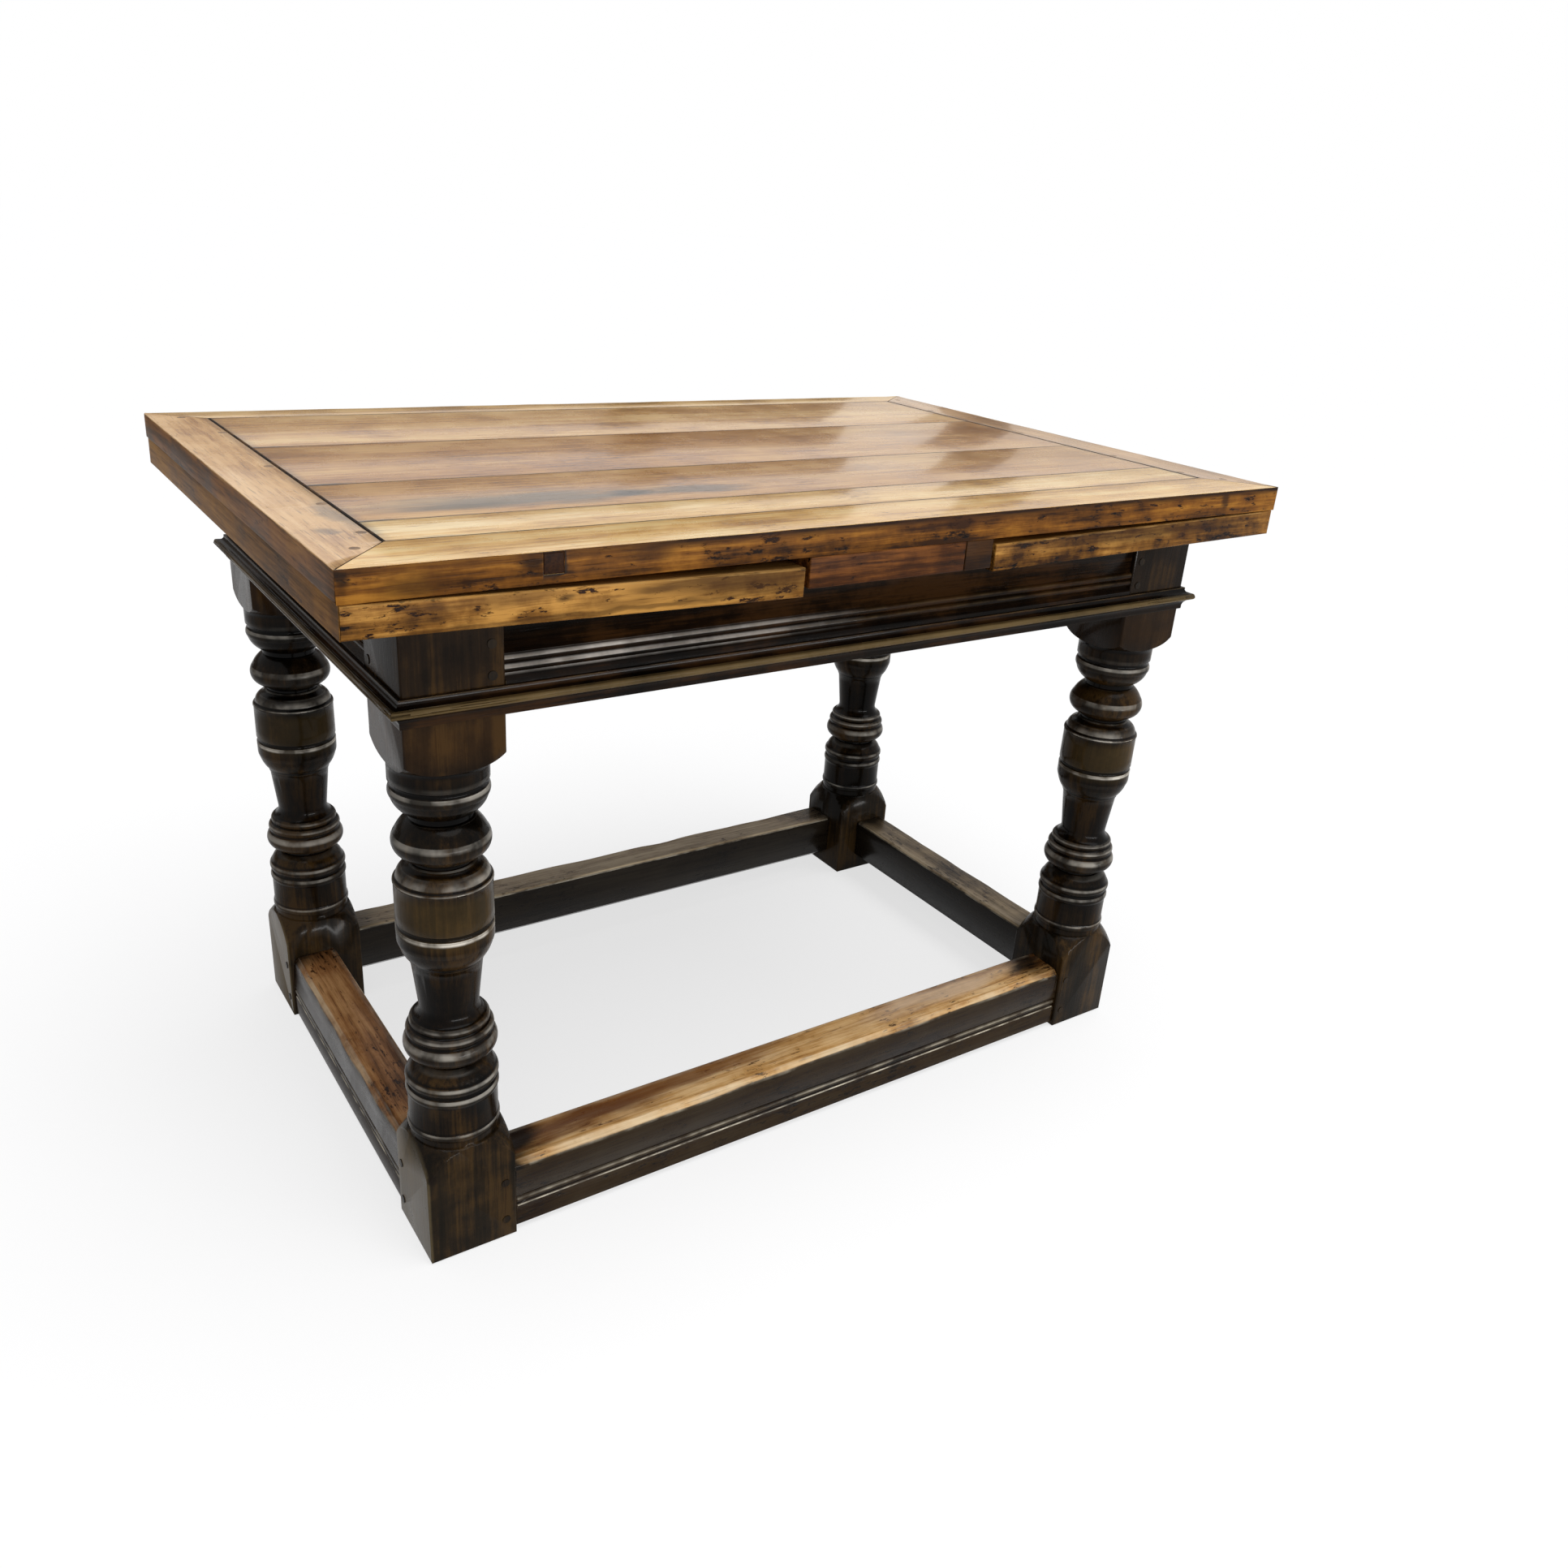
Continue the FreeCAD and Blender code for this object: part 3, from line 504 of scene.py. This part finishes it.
# Edges and leaves are waxed but not polished: darker, golden and mottled with dents.
EDGE_STAINS = (
    ((-512, -376, 760), (46, 30, 16), 7, "#2b1707", 0.70),
    ((-571, -376, 770), (9, 30, 12), 3, "#1b0f06", 0.85),
    ((-414, -376, 771), (18, 30, 7), 4, "#1d0f06", 0.85),
    ((-300, -376, 770), (40, 30, 9), 5, "#2f1909", 0.60),
    ((60, -376, 772), (120, 30, 7), 6, "#3a1d0a", 0.40),
    ((478, -376, 768), (10, 30, 16), 3, "#2a170a", 0.80),
)
LEAF_MARKS = (
    ((-215, -376, 737), (150, 40, 30), 12, "#3b230b", 0.85),
    ((340, -376, 737), (270, 40, 30), 14, "#27150a", 0.75),
    ((-380, -376, 737), (12, 30, 4), 3, "#2a1607", 0.70),
    ((-295, -376, 738), (34, 30, 5), 4, "#3d220c", 0.60),
    ((-500, -376, 738), (30, 30, 6), 5, "#3d220c", 0.60),
    ((146, -376, 748), (42, 30, 3), 2, "#c4a878", 0.75),
    ((420, -376, 737), (40, 30, 8), 6, "#3d220c", 0.55),
    # These two lines are painted shade: darker along the leaf's upper edge, under the top, and
    # along its lower edge.
    ((-350, -376, 752), (260, 30, 4), 2, "#2a1607", 0.65),
    ((-350, -376, 722), (260, 30, 4), 2, "#36200b", 0.60),
    ((-430, -376, 742), (70, 30, 10), 5, "#4d2e10", 0.55),
    ((-330, -376, 728), (60, 30, 8), 5, "#4d2e10", 0.50),
)
front_edge_oak = oak("waxed front edge oak", axis=X, shift=12,
                     tones=("#2f1907", "#774a1a", "#a9732c"), polish=0.38, gloss=0.07,
                     finishes=(painted_arris_shade, marked(EDGE_STAINS)), specks=0.95, wear_and_painted_highlight="#8a6233",
                     mottle=0.55, dent=6)
end_edge_oak = oak("waxed end edge oak", axis=Y, shift=13,
                   tones=("#54371a", "#946437", "#b98a52"), polish=0.38, gloss=0.02, specks=0.6,
                   wear_and_painted_highlight="#b8966a")
leaf_oak = oak("waxed leaf oak", axis=X, shift=14, tones=("#331c08", "#835824", "#c08d46"),
               polish=0.40, gloss=0.07, finishes=(marked(LEAF_MARKS),), specks=1.15,
               wear_and_painted_highlight="#a9854f", mottle=0.8, dent=6)
leaf_clamp_oak = oak("waxed leaf clamp oak", axis=Y, shift=15,
                     tones=("#523719", "#8f6536", "#b5874e"), polish=0.40, gloss=0.02,
                     specks=0.6, wear_and_painted_highlight="#b59a70")
# The upper faces of the leaves, which the top keeps from the light, are plainer.
LEAF_FACE = {"tones": ("#6a4620", "#9c7038", "#c09254"), "polish": 0.34, "gloss": 0.2,
             "wear_and_painted_highlight": "#b59a70", "dent": 6}
leaf_face_oak = oak("waxed leaf face oak", axis=X, shift=33, **LEAF_FACE)
leaf_clamp_face_oak = oak("waxed leaf clamp face oak", axis=Y, shift=34, **LEAF_FACE)
centre_oak = oak("brown centre oak", axis=X, shift=16, tones=("#150a03", "#41230e", "#7d4c22"),
                 polish=0.40, gloss=0.07, specks=1, wear_and_painted_highlight="#6b4724", dent=6)
strip_oak = oak("dark centre strip oak", axis=X, shift=17,
                tones=("#0e0703", "#211208", "#3f260f"), polish=0.40, gloss=0.07,
                wear_and_painted_highlight="#4f3519")
plug_oak = oak("dark end grain plug", axis=Y, shift=18, tones=("#0f0704", "#201008", "#371f0e"),
               polish=0.45, gloss=0.07)

# The frame is almost black with smoke and old wax, and its corners carry thin pale lines, partly
# wear and partly a painted highlight.
FRAME = {"tones": ("#080503", "#170e07", "#35210f"), "polish": 0.26, "gloss": 0.03, "wax": 0.08,
         "mottle": 0.6, "wear_and_painted_highlight": "#5c4a2f"}
FOOT_KNOT = (((-503, -312, 112), (7, 14, 9), 2, "#140d07", 0.9),)
apron_oak = oak("dark apron oak", axis=X, shift=19, finishes=(reed_shine,), **FRAME)
apron_end_oak = oak("dark end apron oak", axis=Y, shift=20, **FRAME)
moulding_oak = oak("dark moulding oak", axis=X, shift=21, finishes=(bumped_nose,), **FRAME)
moulding_end_oak = oak("dark end moulding oak", axis=Y, shift=22, finishes=(bumped_nose,),
                       **FRAME)
# On the turnings the silver tone of the crests is a painted highlight, broken into glints, over a
# little wear.
leg_oak = oak("dark turned oak", axis=Z, shift=23, tones=("#090603", "#1d140a", "#3b2a14"),
              polish=0.26, gloss=0.03, wax=0.08, finishes=(turned_wear, marked(FOOT_KNOT)),
              wear_and_painted_highlight="#d6d0c4", mottle=0.6)
frame_peg_oak = oak("end grain of the frame's pegs", axis=Z, shift=24,
                    tones=("#0a0704", "#1a130b", "#312515"), polish=0.4, gloss=0.08)

# The stretchers are trodden: bare and shiny on top, black with dirt on their sides. The pale tone
# on their corners and beads is partly wear and partly a painted highlight.
STRETCHER_TONES = {
    "front": ("#7c4f25", "#c09359", "#e0bc89"),
    "left": ("#5a3719", "#9a6a40", "#c29260"),
    "rear": ("#4e4030", "#84725a", "#a39278"),
    "right": ("#473a2b", "#79684f", "#9a886d"),
}
FRONT_SCUFFS = (
    ((-305, -270, 92), (180, 32, 60), 5, "#54290f", 0.90),
    ((-150, -262, 92), (180, 22, 60), 5, "#6a3f1d", 0.80),
    ((230, -268, 92), (190, 22, 50), 6, "#d8bfa4", 0.60),
    ((-394, -270, 92), (42, 40, 50), 6, "#0e0906", 0.95),
    ((380, -272, 92), (46, 40, 50), 6, "#120c08", 0.95),
)
stretcher_oaks = {}
for number, (side, tones) in enumerate(STRETCHER_TONES.items()):
    axis = Y if side in ("left", "right") else X
    scuffs = FRONT_SCUFFS if side == "front" else ()
    stretcher_oaks[side] = oak("trodden oak, " + side, axis=axis, shift=25 + number, tones=tones,
                               polish=0.26, gloss=0.06, wax=0.08,
                               finishes=(trodden(axis), marked(scuffs)), specks=0.9,
                               wear_and_painted_highlight="#cbc2ad", dent=5)

# Out of sight the wood is left from the plane, dull and brown, and pegs show their end grain.
bearer_oak = oak("plain bearer oak", axis=Y, shift=30, tones=("#33220f", "#54391d", "#6f4f2b"),
                 polish=0.6, gloss=0.3)
loper_oak = oak("plain loper oak", axis=X, shift=31, tones=("#3b2812", "#614423", "#7d5b32"),
                polish=0.55, gloss=0.3)
top_peg_oak = oak("end grain of the top's pegs", axis=Z, shift=32,
                  tones=("#553a20", "#7d5c38", "#987449"), polish=0.35, gloss=0.4)


# The pieces, with the corners that hands, feet and cloths have rounded

def open_copy(node):
    """A copy of a solid's mesh with its loose triangles joined into whole faces."""
    shape = bmesh.new()
    shape.from_mesh(frame["nodes"][node].data)
    bmesh.ops.remove_doubles(shape, verts=shape.verts, dist=TOUCH)
    bmesh.ops.dissolve_limit(shape, angle_limit=math.radians(0.5), verts=shape.verts,
                             edges=shape.edges)
    return shape


def round_corners(shape, width, chosen=None, dirt=False):
    """Rounds the sharp outward corners, and may fill them with dirt.

    It takes all of them, or those chosen by their middle.
    """
    edges = []
    for edge in shape.edges:
        if len(edge.link_faces) != 2 or edge.calc_length() < SHORT_EDGE or not edge.is_convex:
            continue
        if edge.calc_face_angle() < SHARP:
            continue
        if chosen is None or chosen((edge.verts[0].co + edge.verts[1].co) / 2):
            edges.append(edge)
    if edges:
        made = bmesh.ops.bevel(shape, geom=edges, offset=width, offset_type="OFFSET",
                               affect="EDGES", segments=ROUNDING_STEPS, profile=0.5, material=-1,
                               clamp_overlap=True)
        for face in made["faces"]:
            face.material_index = int(dirt)


def slice_across(shape, axis, spacing):
    """Cuts a piece across into short lengths, so that it can be worn unevenly."""
    places = [vert.co[axis] for vert in shape.verts]
    low, high = min(places), max(places)
    normal = Vector((0, 0, 0))
    normal[axis] = 1
    count = int((high - low) / spacing)
    for number in range(1, count):
        point = normal * (low + (high - low) * number / count)
        geom = shape.verts[:] + shape.edges[:] + shape.faces[:]
        bmesh.ops.bisect_plane(shape, geom=geom, dist=CUT_TOUCH, plane_co=point, plane_no=normal)


def rub(shape, axis, depth, length, where):
    """Wears the faces that look up or outwards by up to a depth, where where() says.

    The wear comes and goes in waves of about a length.
    """
    shape.normal_update()
    for vert in shape.verts:
        outward = vert.normal[1 - axis] * vert.co[1 - axis] > -TOUCH and vert.normal.z > -0.3
        share = where(vert.co) if outward else 0
        if share > 0:
            wave = 0.5 + 0.5 * noise.noise(vert.co / length)
            vert.co -= vert.normal * depth * share * max(0, wave)


def note_corners(shape, turned):
    """Notes on each small face how sharply it bends outwards, or inwards, as a share.

    On a turned piece only the bends from ring to ring count. Square corners, sawn ends and the
    slivers beside them are joints and count nowhere, and broad faces stay flat.
    """
    wear_and_painted_highlight = shape.loops.layers.float.new("wear_and_painted_highlight")
    spans = [max(places) - min(places) for places in zip(*(vert.co for vert in shape.verts))]
    length = spans.index(max(spans))
    bends = []
    shape.verts.index_update()
    for vert in shape.verts:
        angles = [0]
        for edge in vert.link_edges:
            rise = abs(edge.verts[0].co.z - edge.verts[1].co.z)
            along_ring = not turned or rise <= 0.2 * edge.calc_length()
            if len(edge.link_faces) == 2 and along_ring:
                angle = edge.calc_face_angle_signed(0)
                if angle < SQUARE:
                    angles.append(angle)
        bends.append(max(angles, key=abs) / FULL_BEND)
    for face in shape.faces:
        area = face.calc_area()
        narrow = area / face.calc_perimeter() < NARROW
        face.smooth = narrow or area < SMALL_FACE
        heights = [vert.co.z for vert in face.verts]
        in_ring = max(heights) - min(heights) < RING_HEIGHT and min(heights) > TURNED_FOOT
        runs = [vert.co[length] for vert in face.verts]
        endwise = abs(face.normal[length])
        sliver = endwise < 0.1 and max(runs) - min(runs) < SLIVER
        sawn = endwise > 0.9 or sliver
        counts = in_ring and face.smooth if turned else narrow and not sawn
        if counts:
            for loop in face.loops:
                loop[wear_and_painted_highlight] = max(-1, min(1, bends[loop.vert.index]))


def close_copy(shape, node, materials, crease=38, turned=False):
    """Makes a worn copy a piece that stands for its solid and moves with its body."""
    note_corners(shape, turned)
    mesh = bpy.data.meshes.new(node + "_worn")
    shape.to_mesh(mesh)
    shape.free()
    mesh.set_sharp_from_angle(angle=math.radians(crease))
    for material in materials:
        mesh.materials.append(material)
    piece = bpy.data.objects.new(node + "_worn", mesh)
    bpy.context.scene.collection.objects.link(piece)
    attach(piece, bodies[node])
    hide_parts(node)


def on_outline(middle):
    """On the outer edges of the top."""
    return abs(middle.x) > TOP_END - NEAR or abs(middle.y) > TOP_SIDE - NEAR


def on_face(middle):
    """On the upper face of the top."""
    return middle.z > TOP_FACE - NEAR


def by_clamp(middle):
    """On the upper face of the top, where the boards meet a clamp."""
    return abs(abs(middle.x) - CLAMP_LINE) < CLAMP_NEAR and on_face(middle)


def top_pieces():
    """Rounded round the outline, and a little along the seams.

    The seams are dark, and widest at the clamps.
    """
    for node, material in top_oaks.items():
        shape = open_copy(node)
        round_corners(shape, FRONT_ROUND if "front" in node else OUTLINE_ROUND, on_outline)
        round_corners(shape, CLAMP_SEAM_ROUND, by_clamp, dirt=True)
        round_corners(shape, SEAM_ROUND, on_face, dirt=True)
        for face in shape.faces:
            if face.material_index == 0 and face.normal.z < 0.6:
                face.material_index = 2
        if "rail" in node or "clamp" in node:
            axis = Y if "clamp" in node else X
            slice_across(shape, axis, RIM_SLICE)
            edge = (TOP_SIDE, TOP_END)[axis] - RIM_REACH
            low = TOP_FACE - RIM_REACH
            rub(shape, axis, where=lambda place: abs(place[1 - axis]) > edge and place.z > low,
                **RIM_WEAR)
        edge_oak = end_edge_oak if "clamp" in node else front_edge_oak
        close_copy(shape, node, [material, seam_dirt, edge_oak])
    shape = open_copy("top_edge_plug")
    round_corners(shape, PLUG_ROUND)
    close_copy(shape, "top_edge_plug", [plug_oak])


def leaf_pieces():
    """Rounded most along the front and rear, where they are gripped to draw them out."""
    for node in frame["nodes"]:
        if "_leaf_" not in node or "pegs" in node:
            continue
        shape = open_copy(node)
        round_corners(shape, GRIP_ROUND, lambda middle: abs(middle.y) > TOP_SIDE - NEAR)
        round_corners(shape, LEAF_ROUND)
        for face in shape.faces:
            face.material_index = int(face.normal.z > 0.9)
        if "clamp" in node:
            close_copy(shape, node, [leaf_clamp_oak, leaf_clamp_face_oak])
        else:
            close_copy(shape, node, [leaf_oak, leaf_face_oak])


def centre_pieces():
    """Rounded a little all round."""
    for node, material in (("centre_board", centre_oak), ("centre_strip", strip_oak)):
        shape = open_copy(node)
        round_corners(shape, CENTRE_ROUND)
        close_copy(shape, node, [material])


def frame_pieces():
    """Aprons keep their edges, mouldings are knocked along the nose, and stretchers trodden."""
    for side in ("front", "rear", "left", "right"):
        axis = Y if side in ("left", "right") else X
        outline = (FRAME_SIDE, FRAME_END)[axis]

        shape = open_copy("apron_" + side)
        round_corners(shape, APRON_ROUND)
        close_copy(shape, "apron_" + side, [(apron_oak, apron_end_oak)[axis]])

        shape = open_copy("moulding_" + side)
        round_corners(shape, MOULDING_ROUND)
        slice_across(shape, axis, NOSE_SLICE)
        rub(shape, axis, where=lambda place: abs(place[1 - axis]) > outline + NOSE_START,
            **NOSE_WEAR)
        close_copy(shape, "moulding_" + side, [(moulding_oak, moulding_end_oak)[axis]])

        def outer_corner(place):
            out = (abs(place[1 - axis]) - outline + CORNER_IN) / CORNER_IN_GROWTH
            high = (place.z - STRETCHER_TOP + CORNER_DOWN) / CORNER_DOWN_GROWTH
            return max(0, min(1, out)) * max(0, min(1, high))

        shape = open_copy("stretcher_" + side)
        slice_across(shape, axis, TREAD_SLICE)
        slice_across(shape, 1 - axis, TREAD_STRIP)
        rub(shape, axis, where=outer_corner, **CORNER_WEAR)
        rub(shape, axis, where=lambda place: place.z > STRETCHER_TOP - TREAD_REACH, **TREAD_WEAR)
        close_copy(shape, "stretcher_" + side, [stretcher_oaks[side]])


def leg_pieces():
    """Rounded at the corners of block and foot, and most where the feet are kicked."""
    for node in frame["nodes"]:
        if node.startswith("leg"):
            shape = open_copy(node)
            round_corners(shape, FOOT_ROUND, lambda middle: middle.z < NEAR)
            round_corners(shape, LEG_ROUND)
            close_copy(shape, node, [leg_oak], crease=30, turned=True)


def hidden_pieces():
    """Pegs, lopers and bearers keep their solids and get their wood."""
    groups = (
        (top_peg_oak, ("top_clamp_pegs", "top_guide_pegs", "left_leaf_pegs", "right_leaf_pegs",
                       "centre_pegs")),
        (frame_peg_oak, ("apron_pegs", "stretcher_pegs")),
        (bearer_oak, ("bearer_left", "bearer_right")),
        (loper_oak, ("left_loper_front", "left_loper_rear", "right_loper_front",
                     "right_loper_rear")),
    )
    for wood, nodes in groups:
        for node in nodes:
            materials = frame["nodes"][node].data.materials
            materials.clear()
            materials.append(wood)


# The studio: a pale floor, a soft light overhead, a wide window in front and screens far behind
FLOOR_REACH = 40
SCREENS_BEHIND = 5
OVERHEAD = (0.5, -0.8, 4.0)
OVERHEAD_AIM = (0, 0, 0)
# All of the window lies lower than the top, or it would glare there when seen from behind.
WINDOW = (0.4, -3.2, 0.62)
WINDOW_AIM = (0, 0, 0.42)
WINDOW_WIDTH = 3.4
WINDOW_HEIGHT = 0.18
# Each screen's left and right end, its height and its tone
SCREENS = {
    "long_screen": (-6.0, 2.36, 1.97, "#85796f"),
    "first_screen": (2.36, 2.66, 2.20, "#2a2019"),
    "wide_screen": (2.66, 3.97, 1.93, "#5d4f43"),
    "pale_screen": (3.97, 4.79, 2.15, "#fbf3e8"),
    "last_screen": (4.79, 5.42, 2.15, "#55473c"),
    "right_screen": (5.42, 12.0, 2.15, "#e2d7ca"),
}


def white_seen(tree):
    """1 where the camera looks, straight or by way of gloss or glass."""
    path = add(tree, "LightPath", out="Is Camera Ray")
    seen = add(tree, "Math", {0: path, 1: path.node.outputs["Is Glossy Ray"]},
               operation="MAXIMUM")
    return add(tree, "Math", {0: seen, 1: path.node.outputs["Is Transmission Ray"]},
               operation="MAXIMUM")


def stage_piece(shape, name, material):
    """Stands a shape in the studio, apart from the table."""
    mesh = bpy.data.meshes.new(name)
    shape.to_mesh(mesh)
    shape.free()
    mesh.materials.append(material)
    piece = bpy.data.objects.new(name, mesh)
    bpy.context.scene.collection.objects.link(piece)
    return piece


def floor():
    """White to the eye, with a pale shadow, but as dull as floorboards to the light it returns."""
    material, tree = blank("pale studio floor")
    seen = white_seen(tree)
    tone = add(tree, "Mix", {"Factor": seen, "A": srgb("#7d766e"), "B": srgb("#ffffff")}, out=2,
               data_type="RGBA")
    shadowed = add(tree, "BsdfDiffuse", {"Color": tone})
    white = add(tree, "Emission", {"Strength": 1})
    share = add(tree, "Math", {0: seen, 1: 0.7}, operation="MULTIPLY")
    surface = add(tree, "MixShader", {0: share, 1: shadowed, 2: white})
    add(tree, "OutputMaterial", {"Surface": surface})
    shape = bmesh.new()
    bmesh.ops.create_grid(shape, x_segments=1, y_segments=1, size=FLOOR_REACH)
    stage_piece(shape, "studio_floor", material)


def screens():
    """Stand behind the table, dark and pale by turns, and show only in the polish of its top."""
    upright = Matrix.Rotation(math.radians(90), 3, "X")
    for name, (left, right, top, tone) in SCREENS.items():
        material, tree = blank("cloth of the " + name)
        glow = add(tree, "Emission", {"Color": srgb(tone)})
        add(tree, "OutputMaterial", {"Surface": glow})
        shape = bmesh.new()
        bmesh.ops.create_grid(shape, x_segments=1, y_segments=1, size=0.5)
        bmesh.ops.scale(shape, vec=(right - left, top, 1), verts=shape.verts)
        bmesh.ops.rotate(shape, matrix=upright, verts=shape.verts)
        bmesh.ops.translate(shape, vec=((left + right) / 2, SCREENS_BEHIND, top / 2),
                            verts=shape.verts)
        screen = stage_piece(shape, name, material)
        screen.visible_camera = False
        screen.visible_diffuse = False
        screen.visible_shadow = False
        screen.visible_transmission = False


def light(name, kind, place, target, **settings):
    """A lamp that points at a target."""
    lamp = bpy.data.lights.new(name, kind)
    for key, value in settings.items():
        setattr(lamp, key, value)
    holder = bpy.data.objects.new(name, lamp)
    holder.location = place
    aim = Vector(target) - Vector(place)
    holder.rotation_euler = aim.to_track_quat("-Z", "Y").to_euler()
    bpy.context.scene.collection.objects.link(holder)


def studio():
    """A surround that is white to the eye and dimmer to the wood, and two lamps."""
    world = bpy.data.worlds.new("soft studio")
    bpy.context.scene.world = world
    world.use_nodes = True
    tree = world.node_tree
    tree.nodes.clear()
    tone = add(tree, "Mix", {"Factor": white_seen(tree), "A": (0.38, 0.38, 0.39, 1),
                             "B": (1, 1, 1, 1)}, out=2, data_type="RGBA")
    add(tree, "OutputWorld", {"Surface": add(tree, "Background", {"Color": tone})})
    light("overhead", "SUN", OVERHEAD, OVERHEAD_AIM, energy=2.0, angle=math.radians(55))
    light("window", "AREA", WINDOW, WINDOW_AIM, energy=60, shape="RECTANGLE", size=WINDOW_WIDTH,
          size_y=WINDOW_HEIGHT)


def camera():
    """Stands at the left front, above the top, and looks down along the table."""
    lens = bpy.data.cameras.new("photo camera")
    lens.sensor_fit = "HORIZONTAL"
    lens.sensor_width = 36
    lens.lens = 29.82
    holder = bpy.data.objects.new("photo camera", lens)
    eye = Vector((-0.8467, -1.3591, 1.0541))
    right = Vector((0.82710463, -0.55807731, 0.06669069))
    up = Vector((0.17669995, 0.37083313, 0.91173456))
    back = Vector((-0.53354949, -0.74231564, 0.40533003))
    turn = Matrix((right, up, back)).transposed().to_4x4()
    holder.matrix_world = Matrix.Translation(eye) @ turn
    bpy.context.scene.collection.objects.link(holder)
    bpy.context.scene.camera = holder


top_pieces()
leaf_pieces()
centre_pieces()
frame_pieces()
leg_pieces()
hidden_pieces()
floor()
screens()
studio()
camera()
bpy.context.scene.view_settings.view_transform = "Standard"
